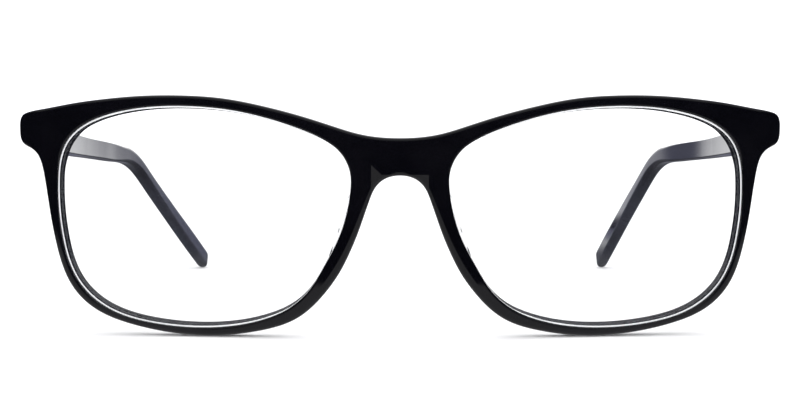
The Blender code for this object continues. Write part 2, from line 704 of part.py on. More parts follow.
def build_temple(side, label, turn, axis):
    temple = mesh_object("temple_" + label, temple_shell(side, turn),
                         make_material("black_acetate_temple_" + label, **BLACK_ACETATE),
                         origin=axis)
    floor_x = TEMPLE_INNER_X + PLATE_SINK + PLATE_THICKNESS + TEMPLE_POCKET_GAP
    pocket = helper("cut_leaf_" + label,
                    box((side * (TEMPLE_INNER_X - OVERCUT), side * floor_x),
                        (TEMPLE_PLATE_Y[0] - TEMPLE_POCKET_GAP,
                         TEMPLE_PLATE_Y[1] + TEMPLE_POCKET_GAP),
                        (POCKET_LOW, POCKET_HIGH)))
    bore = helper("cut_wire_" + label, wire_tube(side, turn, **WIRE_BORE))
    combine(temple, [pocket, bore], "DIFFERENCE")
    mesh_object("core_wire_" + label, wire_tube(side, turn, **WIRE),
                make_material("core_wire_metal_" + label, **WIRE_METAL), origin=axis)


# --------------------------------------------------------------------- hinge
def knuckle_arc(start, end, steps):
    """Points round the pin on the left side, between two angles in degrees."""
    angles = [math.radians(start + (end - start) * k / steps) for k in range(steps + 1)]
    return [(HINGE_X + KNUCKLE_RADIUS * math.cos(q),
             HINGE_Y + KNUCKLE_RADIUS * math.sin(q)) for q in angles]


def add_knuckles(leaf, part, side, label, levels, outline, extra=()):
    """Joins knuckles and any extra pieces to a leaf, then bores it for the pin."""
    outline = [(side * x, y) for x, y in outline]
    tools = []
    for k in levels:
        low = HINGE_LOW + k * (KNUCKLE_HEIGHT + KNUCKLE_GAP)
        tools.append(helper(f"add_{part}_knuckle_{label}_{k}",
                            prism(outline, low, low + KNUCKLE_HEIGHT)))
    combine(leaf, [*tools, *extra], "UNION")
    bore = prism(circle(side * HINGE_X, HINGE_Y, PIN_BORE, PIN_SIDES),
                 HINGE_LOW - OVERCUT, HINGE_HIGH + OVERCUT)
    combine(leaf, [helper(f"cut_{part}_bore_{label}", bore)], "DIFFERENCE")


def make_studs(prefix, side, label, radius, length, root):
    """The two studs, or their bores, reaching forward from the front leaf."""
    x, y = side * STUD_X, FRONT_PLATE_Y[0]
    return [helper(f"{prefix}_stud_{label}_{z:.0f}",
                   tube([(x, y - length, z), (x, y + root, z)], radius, STUD_SIDES))
            for z in STUD_HEIGHTS]


def build_front_leaf(side, label):
    leaf = helper("front_hinge_" + label,
                  box([side * x for x in FRONT_PLATE_X], FRONT_PLATE_Y,
                      (HINGE_LOW, HINGE_HIGH)))
    leaf.data.materials.append(make_material("hinge_metal_front_" + label, **HINGE_METAL))
    root = [(HINGE_X + x, FRONT_PLATE_Y[1] + y) for x, y in FRONT_KNUCKLE_ROOT]
    studs = make_studs("add", side, label, STUD_RADIUS, STUD_LENGTH, STUD_ROOT)
    add_knuckles(leaf, "front", side, label, FRONT_KNUCKLES,
                 knuckle_arc(0, 180, 12) + root, studs)


def build_temple_leaf(side, label, axis):
    inner_x = TEMPLE_INNER_X + PLATE_SINK
    leaf = mesh_object("temple_hinge_" + label,
                       box((side * inner_x, side * (inner_x + PLATE_THICKNESS)),
                           TEMPLE_PLATE_Y, (HINGE_LOW, HINGE_HIGH)),
                       make_material("hinge_metal_temple_" + label, **HINGE_METAL),
                       origin=axis, smooth=False)
    root = [(TEMPLE_INNER_X + x, y) for x, y in TEMPLE_KNUCKLE_ROOT]
    add_knuckles(leaf, "temple", side, label, TEMPLE_KNUCKLES,
                 knuckle_arc(95, 350, 16) + root)


def build_screw(label, axis):
    x, y, _ = axis
    head = HINGE_HIGH + SCREW_HEAD_GAP
    top = head + SCREW_HEAD_HEIGHT
    # (radius, z) from the pin's lower end to the top of the head
    profile = [
        (PIN_RADIUS - PIN_CHAMFER, HINGE_LOW - PIN_END),
        (PIN_RADIUS, HINGE_LOW - PIN_CHAMFER_FROM),
        (PIN_RADIUS, head),
        (SCREW_HEAD_RADIUS, head),
        (SCREW_HEAD_RADIUS, head + SCREW_HEAD_WALL),
        (SCREW_HEAD_RADIUS - SCREW_HEAD_CHAMFER, top),
    ]
    rings = [[(px, py, z) for px, py in circle(x, y, radius, PIN_SIDES)]
             for radius, z in profile]
    screw = mesh_object("hinge_screw_" + label, loft(rings),
                        make_material("screw_metal_" + label, **SCREW_METAL), origin=axis)
    slot = helper("cut_slot_" + label,
                  box((x - SLOT_REACH, x + SLOT_REACH),
                      (y - SLOT_WIDTH / 2, y + SLOT_WIDTH / 2),
                      (top - SLOT_DEPTH, top + OVERCUT)))
    combine(screw, [slot], "DIFFERENCE")


def build_front_pocket(side, label):
    """The tool that cuts the front leaf's pocket and stud bores."""
    near, far = FRONT_PLATE_X
    pocket = helper("cut_pocket_" + label,
                    box((side * (near - FIT_GAP), side * (far + FIT_GAP)),
                        (FRONT_PLATE_Y[0] - FIT_GAP, MITRE_Y + FRONT_POCKET_REACH),
                        (POCKET_LOW, POCKET_HIGH)))
    bores = make_studs("cut", side, label, STUD_RADIUS + FIT_GAP, STUD_LENGTH + FIT_GAP,
                       STUD_BORE_ROOT)
    combine(pocket, bores, "UNION")
    return pocket


# ------------------------------------------------------------------ assembly
def centre_on_origin():
    """Puts the origin under the middle of the footprint; heights stay."""
    bpy.context.view_layer.update()
    shown = [obj for obj in bpy.data.objects if not obj.hide_render]
    points = np.array([tuple(obj.matrix_world @ vertex.co)
                       for obj in shown for vertex in obj.data.vertices])
    middle = (points.min(axis=0) + points.max(axis=0)) / 2
    for obj in bpy.data.objects:
        obj.location.x -= middle[0]
        obj.location.y -= middle[1]
    bpy.context.view_layer.update()


front, opening, outward = build_front()
turn = solved_turn()
pockets = []
for side, label in ((-1, "right"), (1, "left")):
    axis = (side * HINGE_X, HINGE_Y, HINGE_Z)
    # Lens and pad are drawn on the right, so the left ones are mirrored.
    build_lens("lens_" + label, -side, opening, outward)
    build_pad("nose_pad_" + label, -side)
    build_front_leaf(side, label)
    build_temple_leaf(side, label, axis)
    build_screw(label, axis)
    build_temple(side, label, turn, axis)
    pockets.append(build_front_pocket(side, label))
combine(front, pockets, "DIFFERENCE")
centre_on_origin()
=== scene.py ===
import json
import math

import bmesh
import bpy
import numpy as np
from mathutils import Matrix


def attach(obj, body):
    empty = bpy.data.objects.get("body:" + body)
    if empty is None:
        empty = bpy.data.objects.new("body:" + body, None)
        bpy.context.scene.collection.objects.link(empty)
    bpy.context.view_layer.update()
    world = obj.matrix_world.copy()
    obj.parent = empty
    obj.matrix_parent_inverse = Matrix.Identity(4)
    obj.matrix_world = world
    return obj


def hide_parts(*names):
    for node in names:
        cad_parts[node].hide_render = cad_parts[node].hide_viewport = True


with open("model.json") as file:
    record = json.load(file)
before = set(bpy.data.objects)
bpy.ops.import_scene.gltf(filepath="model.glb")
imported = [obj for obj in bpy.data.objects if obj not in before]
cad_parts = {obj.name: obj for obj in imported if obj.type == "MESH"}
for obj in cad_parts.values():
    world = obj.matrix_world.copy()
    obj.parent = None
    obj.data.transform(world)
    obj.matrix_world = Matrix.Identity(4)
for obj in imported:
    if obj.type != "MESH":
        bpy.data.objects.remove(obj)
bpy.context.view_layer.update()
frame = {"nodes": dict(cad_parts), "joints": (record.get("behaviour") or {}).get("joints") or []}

# The looks of a full-rim acetate eyeglasses frame that stands open on a table.
# The front faces -Y, the temples run back along +Y, and the wearer's right is -X.
# Lengths are in millimetres and become metres when a mesh is made; materials and
# the stage are in metres. Each piece is a fine re-make of its CAD node, in the
# same place.

# ---------------------------------------------------------------- dimensions
# Front. On the flat front, u is across, w is up and depth runs to the rear.
FRONT_THICKNESS = 4.0
FACE_RADIUS = 320.0
FRONT_TILT = math.radians(3.0)
FRONT_HEIGHT = 20.4886  # of w = 0 above the table
EDGE_ROUND_TOP = 0.9
EDGE_ROUND_LOW = 1.35
EDGE_ROUND_REAR = 0.6
LIP_CHAMFER = 0.26
LIP_ROUND = 0.09
GROOVE_FROM, GROOVE_APEX, GROOVE_TO = 0.72, 1.2, 1.68  # depths
GROOVE_DEPTH = 0.55
REAR_INSET = (0.07, 0.5)  # everywhere, and added at the top and bottom
REAR_CHAMFER = 0.25

LENS_GAP = 0.08
LENS_EDGE = 1.15
LENS_DOME = 0.55
LENS_FRONT = GROOVE_FROM + 0.06  # depths of the lens's two faces at its edge
LENS_REAR = LENS_FRONT + LENS_EDGE

# Hinges. Places are for the +X side; the other side is mirrored.
MITRE_Y = 10.4
HINGE_X, HINGE_Y, HINGE_Z = 63.3, 12.2, 37.3
KNUCKLE_RADIUS = 1.4
KNUCKLE_HEIGHT = 1.0
KNUCKLE_GAP = 0.1
KNUCKLE_EASE = 0.07
HINGE_HALF = (5 * KNUCKLE_HEIGHT + 4 * KNUCKLE_GAP) / 2
HINGE_LOW, HINGE_HIGH = HINGE_Z - HINGE_HALF, HINGE_Z + HINGE_HALF
PIN_RADIUS, PIN_BORE = 0.60, 0.65
SCREW_HEAD_RADIUS, SCREW_HEAD_HEIGHT = 1.1, 0.6
SCREW_SEAT = 0.05  # gap under the head
SLOT_WIDTH, SLOT_DEPTH = 0.35, 0.3
PLATE_THICKNESS = 0.9
PLATE_EDGE = 0.12
FIT_GAP = 0.1
FRONT_PLATE_X = (62.75, 67.7)
FRONT_PLATE_Y = (MITRE_Y - PLATE_THICKNESS - 0.15, MITRE_Y - 0.05)
STUD_X = 65.83
STUD_Z = (HINGE_Z - 1.5, HINGE_Z + 1.5)
STUD_RADIUS, STUD_LENGTH = 0.55, 0.8

# Temples
TEMPLE_START_Y = 10.5
TEMPLE_INNER_X = 65.5
TEMPLE_THICKNESS = 4.0
TEMPLE_PLATE_X = TEMPLE_INNER_X + 0.05
TEMPLE_PLATE_Y = (12.9, 20.95)
TEMPLE_POCKET_Y = (12.75, 21.1)
DIMPLE_RADIUS, DIMPLE_DEPTH, DIMPLE_Y = 0.45, 0.22, (16.6, 19.2)
HINGE_POCKET_Z = (HINGE_Z - (HINGE_HALF + FIT_GAP), HINGE_Z + (HINGE_HALF + FIT_GAP))
BEND_Y = 88.5
BEND_RADIUS = 32.0
TAIL_LENGTH = 60.9
TAIL_STEP_TURN = math.radians(0.7)
# Height of the tail against distance from where it starts to bend.
TAIL_AT = (0.0, 12.0, 25.0, 38.0, 50.0, TAIL_LENGTH)
TAIL_HEIGHT = (3.85, 4.05, 4.45, 5.1, 5.7, 5.6)
# Thickness against distance along the temple.
THICKNESS_AT = (0, 30, 44, 90, 120, 140)
THICKNESS = (TEMPLE_THICKNESS, TEMPLE_THICKNESS, 3.75, 3.4, 3.0, 2.9)
TEMPLE_SPREAD, SPREAD_FROM, SPREAD_TO = 1.6, 30, 88  # outward, along this run
TIP_ROUND = 2.6
# By side: the tip's distance from the middle, and where its inward curl starts
# along the temple and with what power it grows.
TIP_X = {-1: 56.0, 1: 57.0}
CURL = {-1: (68.0, 1.4), 1: (46.0, 1.15)}

# Outline of the front's right half (u, w), from the top middle round to the nose arch.
OUTER = [
    (0.0, 15.7), (-3.6, 15.85), (-7.2, 16.4), (-12.0, 17.8), (-17.9, 19.65),
    (-25.1, 21.5), (-32.4, 22.85), (-40.0, 23.35), (-47.5, 23.25),
    (-54.5, 22.65), (-60.5, 21.85), (-66.0, 20.85), (-69.2, 20.2),
    (-70.55, 19.55), (-71.05, 18.4), (-71.1, 16.9), (-71.0, 15.5),
    (-70.4, 14.3), (-69.2, 13.6), (-68.1, 12.85), (-67.4, 11.8),
    (-66.95, 10.6), (-66.35, 7.8), (-65.85, 4.2), (-65.3, 0.2),
    (-64.55, -3.6), (-63.4, -7.8), (-61.85, -11.25), (-59.3, -14.4),
    (-55.8, -16.8), (-50.9, -18.6), (-44.5, -19.95), (-38.6, -20.6),
    (-32.8, -20.6), (-27.3, -19.9), (-22.8, -18.9), (-19.0, -17.35),
    (-15.9, -15.0), (-13.4, -12.25), (-11.25, -9.25), (-9.35, -5.65),
    (-7.8, -2.0), (-6.5, 1.6), (-5.5, 4.45), (-4.7, 6.3), (-3.5, 7.75),
    (-1.9, 8.6), (0.0, 8.87),
]
# Outline of the right lens opening (u, w), from its upper nasal corner.
OPENING = [
    (-10.9, 13.2), (-13.5, 15.2), (-18.1, 17.3), (-23.6, 19.1), (-29.1, 20.4),
    (-36.5, 21.27), (-44.0, 21.3), (-51.6, 20.3), (-56.5, 18.8),
    (-60.0, 16.75), (-62.2, 14.2), (-63.3, 11.2), (-63.72, 6.8),
    (-63.6, 2.2), (-63.05, -2.15), (-61.9, -6.95), (-59.9, -11.0),
    (-57.1, -14.0), (-52.8, -16.55), (-46.3, -18.3), (-38.7, -19.02),
    (-31.2, -18.7), (-24.7, -17.3), (-20.1, -15.2), (-16.4, -11.8),
    (-13.6, -7.3), (-11.3, -2.9), (-9.8, 1.45), (-9.0, 5.8), (-9.0, 9.3),
]
LENS_MIDDLE = (-36.3, 1.2)

# Upper and lower edge of the temple (y, z), up to its bend.
TEMPLE_UPPER = [(10.5, 40.2), (22.0, 38.3), (35.5, 36.8), (58.0, 35.6),
                (78.0, 34.7), (91.5, 33.85)]
TEMPLE_LOWER = [(10.5, 34.4), (22.0, 33.5), (35.5, 32.7), (58.0, 31.7),
                (78.0, 30.8), (91.5, 30.1)]

# Nose pad: its line down the front (u, w), and its section (away from the nose in
# mm, to the rear as a share of the height). The two face corners lie on a slope.
PAD_LINE = [(-7.35, 6.6), (-7.75, 3.6), (-8.7, 0.2), (-10.1, -3.6), (-11.9, -7.6)]
PAD_SECTION = [(-1.25, 0.0), (0.55, 0.0), (1.75, 0.30), (2.35, 0.42), (2.30, 0.70),
               (1.85, 0.92), (1.30, 1.0), (-1.45, 0.34), (-1.60, 0.16)]
PAD_FACE_CORNERS = (6, 7)
PAD_HEIGHT = 4.2
PAD_GAP = 0.05
PAD_FACE_X, PAD_FACE_Y, PAD_FACE_Z = 9.7, 6.35, 18.5
PAD_SLOPE_X, PAD_SLOPE_Z = 0.78, 0.10

# Fineness of the meshes.
OUTER_POINTS = 430
BRIDGE_POINTS = 16
ARC_STEPS = 8
TEMPLE_RINGS = 260
PAD_STATIONS = 72

# Material slots of the front, and of a lens.
POLISHED, SAWN = 0, 1
FACE, FROST, GROOVE_SHADE = 0, 1, 2

# The CAD's own frame: its hinge axis says where the drawing's HINGE_Y lies.
HINGES = {joint["child"]: joint["pos_m"] for joint in frame["joints"]}
SHIFT_Y = list(HINGES.values())[0][1] * 1000 - HINGE_Y


# --------------------------------------------------------------------- curves
def smoothstep(value, low, high):
    share = np.clip((np.asarray(value, float) - low) / (high - low), 0.0, 1.0)
    return share * share * (3.0 - 2.0 * share)


def unit(vectors):
    return vectors / np.linalg.norm(vectors, axis=-1, keepdims=True)


def ring_tangents(ring):
    """Unit tangents of a closed ring of points."""
    return unit(np.roll(ring, -1, axis=0) - np.roll(ring, 1, axis=0))


def run_along(points):
    """Distance of each point along a line of points."""
    return np.concatenate(
        [[0], np.cumsum(np.linalg.norm(np.diff(points, axis=0), axis=1))])


def interp_rows(at, run, rows):
    """Two-column rows, known at the runs, read off at other runs."""
    return np.stack([np.interp(at, run, rows[:, k]) for k in (0, 1)], axis=-1)


def smooth_system(knots, gap):
    """Equations for the second derivatives of a natural cubic at its knots."""
    matrix, right = np.eye(len(knots)), np.zeros(knots.shape)
    for i in range(1, len(knots) - 1):
        matrix[i, i - 1:i + 2] = gap[i - 1], 2 * (gap[i - 1] + gap[i]), gap[i]
        right[i] = 6 * ((knots[i + 1] - knots[i]) / gap[i]
                        - (knots[i] - knots[i - 1]) / gap[i - 1])
    return matrix, right


def cubic_value(second, knots, gap, i, past):
    """The cubic at a distance past knot i."""
    left = gap[i] - past
    return ((second[i] * left**3 + second[i + 1] * past**3) / (6 * gap[i])
            + (knots[i] / gap[i] - second[i] * gap[i] / 6) * left
            + (knots[i + 1] / gap[i] - second[i + 1] * gap[i] / 6) * past)


def cubic(points, closed, per=24):
    """A C2 cubic through the points, densely sampled."""
    knots = np.array(points, float)
    if closed:
        knots = np.vstack([knots, knots[:1]])
    gap = np.linalg.norm(np.diff(knots, axis=0), axis=1)
    matrix, right = smooth_system(knots, gap)
    if closed:
        matrix[0, -1] = -1
        matrix[-1, -2:] = gap[-1], 0
        matrix[-1, :2] = 2 * (gap[0] + gap[-1]), gap[0]
        right[-1] = 6 * ((knots[1] - knots[0]) / gap[0]
                         - (knots[-1] - knots[-2]) / gap[-1])
    second = np.linalg.solve(matrix, right)
    samples = [cubic_value(second, knots, gap, i, gap[i] * k / per)
               for i in range(len(gap)) for k in range(per)]
    if not closed:
        samples.append(knots[-1])
    return np.array(samples)


def spline(x, y, at):
    """A natural cubic y(x) through the points, at the given places."""
    gap = np.diff(x)
    second = np.linalg.solve(*smooth_system(y, gap))
    i = np.clip(np.searchsorted(x, at) - 1, 0, len(x) - 2)
    return cubic_value(second, y, gap, i, at - x[i])


def outer_half(count):
    """The outer contour's half from (0, top) to (0, arch), and normals into it.
    Points gather where it turns: a radian counts as TURN_LENGTH of run."""
    TURN_LENGTH = 4.2
    per = 60
    mirrored = [(-u, w) for u, w in OUTER[-2:0:-1]]
    ring = cubic(OUTER + mirrored, True, per)
    half = ring[: (len(OUTER) - 1) * per + 1]
    tangent = ring_tangents(ring)[: len(half)]
    inward = np.stack([-tangent[:, 1], tangent[:, 0]], axis=1)
    inward[0], inward[-1] = (0, -1), (0, 1)
    step = np.linalg.norm(np.diff(half, axis=0), axis=1)
    turn = np.arccos(np.clip((tangent[1:] * tangent[:-1]).sum(axis=1), -1, 1))
    weight = np.convolve(np.sqrt(step**2 + (turn * TURN_LENGTH) ** 2),
                         np.ones(9) / 9, "same")
    along = np.concatenate([[0], np.cumsum(weight)])
    at = np.linspace(0, along[-1], count)
    points = interp_rows(at, along, half)
    points[0], points[-1] = half[0], half[-1]
    return points, unit(interp_rows(at, along, inward))


def opening_loop(targets):
    """A point of the lens opening, and its outward normal, for each point of the
    outer loop: a blend of the same direction from the middle and even spacing."""
    ring = cubic(OPENING, True, 80)
    loop = np.vstack([ring, ring[:1]])
    length = run_along(loop)

    def angles(points):
        return np.unwrap(np.arctan2(*(points - np.array(LENS_MIDDLE)).T[::-1]))

    angle, wanted = angles(loop), angles(targets)
    while wanted[0] < angle[0] - math.pi:
        wanted += 2 * math.pi
    while wanted[0] > angle[0] + math.pi:
        wanted -= 2 * math.pi
    total = length[-1]
    turns = np.concatenate([angle[:-1] - 2 * math.pi, angle[:-1], angle + 2 * math.pi])
    runs = np.concatenate([length[:-1] - total, length[:-1], length + total])
    exact = np.interp(np.maximum.accumulate(wanted), turns, runs)
    even = exact[0] + total * np.arange(len(wanted)) / len(wanted)
    at = np.mod(0.6 * exact + 0.4 * even, total)
    tangent = ring_tangents(ring)
    outward = np.stack([tangent[:, 1], -tangent[:, 0]], axis=1)
    outward = np.vstack([outward, outward[:1]])
    return interp_rows(at, length, loop), unit(interp_rows(at, length, outward))


def bend(flat_points, depth):
    """Flat front coordinates to place: bend round the face, tilt, and bring the
    rear of the end piece level with the mitre."""
    u, w = np.asarray(flat_points, float).T
    depth = np.broadcast_to(np.asarray(depth, float), u.shape)
    angle = u / FACE_RADIUS

    def place(depth):
        x = (FACE_RADIUS - depth) * np.sin(angle)
        y = FACE_RADIUS - (FACE_RADIUS - depth) * np.cos(angle)
        return (x, y * math.cos(FRONT_TILT) - w * math.sin(FRONT_TILT),
                FRONT_HEIGHT + w * math.cos(FRONT_TILT) + y * math.sin(FRONT_TILT))

    x, y, z = place(depth)
    level = smoothstep(np.abs(u), 58.5, 62.3) * smoothstep(w, 8.5, 12.3)
    share = (np.clip(depth - 2.0, 0, None) / (FRONT_THICKNESS - 2.0)) ** 2
    rear_y = place(np.full_like(depth, FRONT_THICKNESS))[1]
    y = y + level * share * (MITRE_Y - rear_y)
    return np.stack([x, y, z], axis=1)


# --------------------------------------------------------------------- meshes
class Shape:
    """Collects rows of points and the faces between them."""

    def __init__(self):
        self.points, self.faces, self.slots, self.count = [], [], [], 0

    def row(self, points):
        first = self.count
        self.points.append(np.asarray(points, float))
        self.count += len(points)
        return np.arange(first, self.count)

    def face(self, corners, slot=0):
        self.faces.append(tuple(int(v) for v in corners))
        self.slots.append(slot)

    def strip(self, a, b, closed=True, slot=0):
        """Quads between two rows of vertex numbers."""
        for i in range(len(a) if closed else len(a) - 1):
            j = (i + 1) % len(a)
            self.face((a[i], a[j], b[j], b[i]), slot)

    def rows(self, rings):
        made = [self.row(ring) for ring in rings]
        for a, b in zip(made, made[1:]):
            self.strip(a, b)
        return made

    def array(self):
        return np.vstack(self.points)

    def mesh(self, name, sharp=30):
        return mesh_from(name, self.array(), self.faces, self.slots, sharp)


def shade(mesh, sharp):
    """Smooth shading, with sharp edges above an angle in degrees unless it is 0."""
    mesh.polygons.foreach_set("use_smooth", np.ones(len(mesh.polygons), bool))
    if sharp:
        mesh.set_sharp_from_angle(angle=math.radians(sharp))


def mesh_from(name, points, faces, slots=None, sharp=30):
    """A mesh object in the CAD's frame, closed and facing out."""
    points = (np.asarray(points, float) + (0, SHIFT_Y, 0)) / 1000
    mesh = bpy.data.meshes.new(name)
    mesh.from_pydata([tuple(map(float, p)) for p in points], [], faces)
    if slots is not None:
        mesh.polygons.foreach_set("material_index", np.array(slots, np.int32))
    bm = bmesh.new()
    bm.from_mesh(mesh)
    bmesh.ops.remove_doubles(bm, verts=bm.verts, dist=2e-6)
    bmesh.ops.recalc_face_normals(bm, faces=bm.faces)
    if bm.calc_volume(signed=True) < 0:
        bmesh.ops.reverse_faces(bm, faces=bm.faces)
    bm.to_mesh(mesh)
    bm.free()
    shade(mesh, sharp)
    obj = bpy.data.objects.new(name, mesh)
    bpy.context.scene.collection.objects.link(obj)
    return obj


def apply_modifiers(obj, sharp):
    bpy.context.view_layer.update()
    depsgraph = bpy.context.evaluated_depsgraph_get()
    made = bpy.data.meshes.new_from_object(obj.evaluated_get(depsgraph))
    obj.modifiers.clear()
    obj.data = made
    shade(made, sharp)


def apply_tools(target, steps, sharp=30, solver="EXACT"):
    """Boolean steps [(tool, operation), ...], applied, and the tools removed."""
    for tool, operation in steps:
        cut = target.modifiers.new("cut", "BOOLEAN")
        cut.operation, cut.solver, cut.object = operation, solver, tool
    apply_modifiers(target, sharp)
    for tool, _ in steps:
        bpy.data.objects.remove(tool, do_unlink=True)
    return target


def soften(obj, width):
    """A small rounded edge, as tumbling leaves it."""
    soft = obj.modifiers.new("soft", "BEVEL")
    soft.width, soft.segments, soft.limit_method = width / 1000, 2, "ANGLE"
    soft.angle_limit = math.radians(40)
    soft.use_clamp_overlap = True
    apply_modifiers(obj, sharp=35)
    return obj


def box(name, side, x_span, y_span, z_span):
    """A box between (low, high) pairs, mirrored in x for side -1."""
    corners = [(x, y, z) for x in sorted(side * x for x in x_span)
               for y in y_span for z in z_span]
    faces = [(0, 1, 3, 2), (4, 6, 7, 5), (0, 4, 5, 1), (2, 3, 7, 6), (0, 2, 6, 4),
             (1, 5, 7, 3)]
    return mesh_from(name, corners, faces)


def tube(name, rings, sharp=30):
    """Rings of points joined in order, with flat ends."""
    shape = Shape()
    made = shape.rows(rings)
    shape.face(made[0])
    shape.face(made[-1])
    return shape.mesh(name, sharp)


def level_ring(outline, z):
    return np.column_stack([outline, np.full(len(outline), z)])


def prism(name, outline, z0, z1, ease=0.0):
    """A vertical prism; its two end edges are eased by a small chamfer."""
    outline = np.array(outline, float)
    levels = [(z0, 0.0), (z1, 0.0)]
    if ease:
        levels = [(z0, ease), (z0 + 0.4 * ease, 0.3 * ease), (z0 + ease, 0.0),
                  (z1 - ease, 0.0), (z1 - 0.4 * ease, 0.3 * ease), (z1, ease)]
    tangent = ring_tangents(outline)
    inward = np.stack([-tangent[:, 1], tangent[:, 0]], axis=1)
    area = (outline[:, 0] * np.roll(outline[:, 1], -1)
            - np.roll(outline[:, 0], -1) * outline[:, 1]).sum()
    if area < 0:
        inward = -inward
    return tube(name, [level_ring(outline + inward * inset, z) for z, inset in levels])


def circle(x, y, radius, count):
    angle = 2 * np.pi * np.arange(count) / count
    return np.stack([x + radius * np.cos(angle), y + radius * np.sin(angle)], axis=1)


def arc(x, y, radius, from_deg, to_deg, steps):
    angles = np.radians(np.linspace(from_deg, to_deg, steps + 1))
    return [(x + radius * math.cos(a), y + radius * math.sin(a)) for a in angles]


def rod(name, start, end, radius, count=32):
    """A round level rod from start to end, both ends flat."""
    start, end = np.array(start, float), np.array(end, float)
    axis = unit(end - start)
    across = unit(np.cross(axis, (0, 0, 1.0)))
    up = np.cross(across, axis)
    angle = 2 * np.pi * np.arange(count) / count
    ring = radius * (np.cos(angle)[:, None] * across + np.sin(angle)[:, None] * up)
    return tube(name, [start + ring, end + ring])


# --------------------------------------------------------------- shader nodes
class Tree:
    """Makes and links the shader nodes of a material or a world."""

    def __init__(self, owner):
        owner.use_nodes = True
        self.nodes, self.links = owner.node_tree.nodes, owner.node_tree.links

    def add(self, kind):
        return self.nodes.new("ShaderNode" + kind)

    def feed(self, node, values):
        """Sets inputs from numbers and colours, or links them from sockets."""
        for key, value in values.items():
            if isinstance(value, (int, float)):
                node.inputs[key].default_value = value
            elif isinstance(value, tuple):
                node.inputs[key].default_value = (*value, 1)
            else:
                self.links.new(value, node.inputs[key])
        return node

    def object_coords(self):
        return self.add("TexCoord").outputs["Object"]

    def noise(self, coords, scale, detail=3.0, rough=0.5, stretch=None):
        made = self.feed(self.add("TexNoise"),
                         {"Scale": scale, "Detail": detail, "Roughness": rough})
        if stretch:
            mapping = self.add("Mapping")
            mapping.inputs["Scale"].default_value = stretch
            coords = self.feed(mapping, {"Vector": coords}).outputs["Vector"]
        return self.feed(made, {"Vector": coords}).outputs["Fac"]

    def ramp(self, value, span, to=(0.0, 1.0)):
        """The value from one span to another, clamped and smooth."""
        made = self.add("MapRange")
        made.interpolation_type = "SMOOTHSTEP"
        self.feed(made, {"From Min": span[0], "From Max": span[1],
                         "To Min": to[0], "To Max": to[1], "Value": value})
        return made.outputs["Result"]

    def maths(self, operation, *values):
        made = self.add("Math")
        made.operation = operation
        return self.feed(made, dict(enumerate(values))).outputs[0]

    def mix(self, factor, off, on):
        """The colour off where the factor is 0, and on where it is 1."""
        made = self.add("Mix")
        made.data_type = "RGBA"
        return self.feed(made, {"Factor": factor, 6: off, 7: on}).outputs[2]

    def mix_shader(self, factor, off, on):
        return self.feed(self.add("MixShader"), {"Fac": factor, 1: off, 2: on}).outputs[0]

    def bump(self, height, strength, distance, before=None):
        made = self.feed(self.add("Bump"), {"Strength": strength, "Distance": distance,
                                            "Height": height})
        if before is not None:
            self.feed(made, {"Normal": before})
        return made.outputs["Normal"]

    def separate(self, vector):
        return self.feed(self.add("SeparateXYZ"), {0: vector}).outputs

    def leaned(self, **lean):
        """The shading normal with a small vector, in the object's axes, added."""
        vector = self.feed(self.add("CombineXYZ"), lean).outputs[0]
        turn = self.add("VectorTransform")
        turn.vector_type, turn.convert_from, turn.convert_to = "VECTOR", "OBJECT", "WORLD"
        self.feed(turn, {0: vector})
        total = self.add("VectorMath")
        total.operation = "ADD"
        self.feed(total, {0: self.add("NewGeometry").outputs["Normal"],
                          1: turn.outputs[0]})
        normalised = self.add("VectorMath")
        normalised.operation = "NORMALIZE"
        return self.feed(normalised, {0: total.outputs[0]}).outputs[0]


def new_material(name):
    material = bpy.data.materials.new(name)
    tree = Tree(material)
    return material, tree, tree.nodes["Principled BSDF"]


# ------------------------------------------------------------------ materials
# The patch over the nose arch, in metres: its level line, its half width, and
# where its spur starts and how steeply that rises.
PATCH_Z, PATCH_X, PATCH_SPUR, PATCH_RISE = 0.02957, 0.0052, 0.0033, 0.95
PATCH_BLUR = 0.00006
PATCH_LEAN = -0.42

# The temple's crown along y, in metres: where it turns forward, where it turns
# back, and its greatest slope. The painted sheen is the span where the tip's base colour greys,
# a painted reflection.
CROWN_FROM, CROWN_BACK, CROWN_SLOPE = (-0.047, -0.007), (0.002, 0.024), 0.115
TIP_PAINTED_SHEEN = (0.022, 0.045)

ACETATE_IOR = 1.49


def crowned(tree, coords):
    """The shading normal of a face that is slightly crowned along the temple."""
    y = tree.separate(coords)[1]
    lean = tree.add("CombineXYZ")
    tree.nodes.remove(lean)
    forward = tree.ramp(y, span=CROWN_FROM, to=(0.0, -CROWN_SLOPE))
    back = tree.ramp(y, span=CROWN_BACK, to=(0.0, CROWN_SLOPE))
    return tree.leaned(Y=tree.maths("ADD", forward, back))


def arch_patch(tree, coords):
    """The shading normal with a patch over the nose arch that mirrors the table:
    it leans down below a level line, within two upright ends, with a short spur
    at the wearer's right-hand end."""
    x, _, z = tree.separate(coords)
    normal = tree.add("NewGeometry").outputs["Normal"]
    rightward = tree.maths("MULTIPLY", x, -1.0)
    spur = tree.maths("MAXIMUM", tree.maths("SUBTRACT", rightward, PATCH_SPUR), 0.0)
    level = tree.maths("ADD", tree.maths("MULTIPLY", spur, PATCH_RISE), PATCH_Z)
    under = tree.ramp(tree.maths("SUBTRACT", level, z), span=(-PATCH_BLUR, PATCH_BLUR))
    within = tree.ramp(tree.maths("ABSOLUTE", x),
                       span=(PATCH_X - PATCH_BLUR, PATCH_X + PATCH_BLUR), to=(1.0, 0.0))
    facing = tree.ramp(tree.separate(normal)[1], span=(-0.8, -0.6), to=(1.0, 0.0))
    mask = tree.maths("MULTIPLY", tree.maths("MULTIPLY", under, within), facing)
    return tree.leaned(Z=tree.maths("MULTIPLY", mask, PATCH_LEAN))


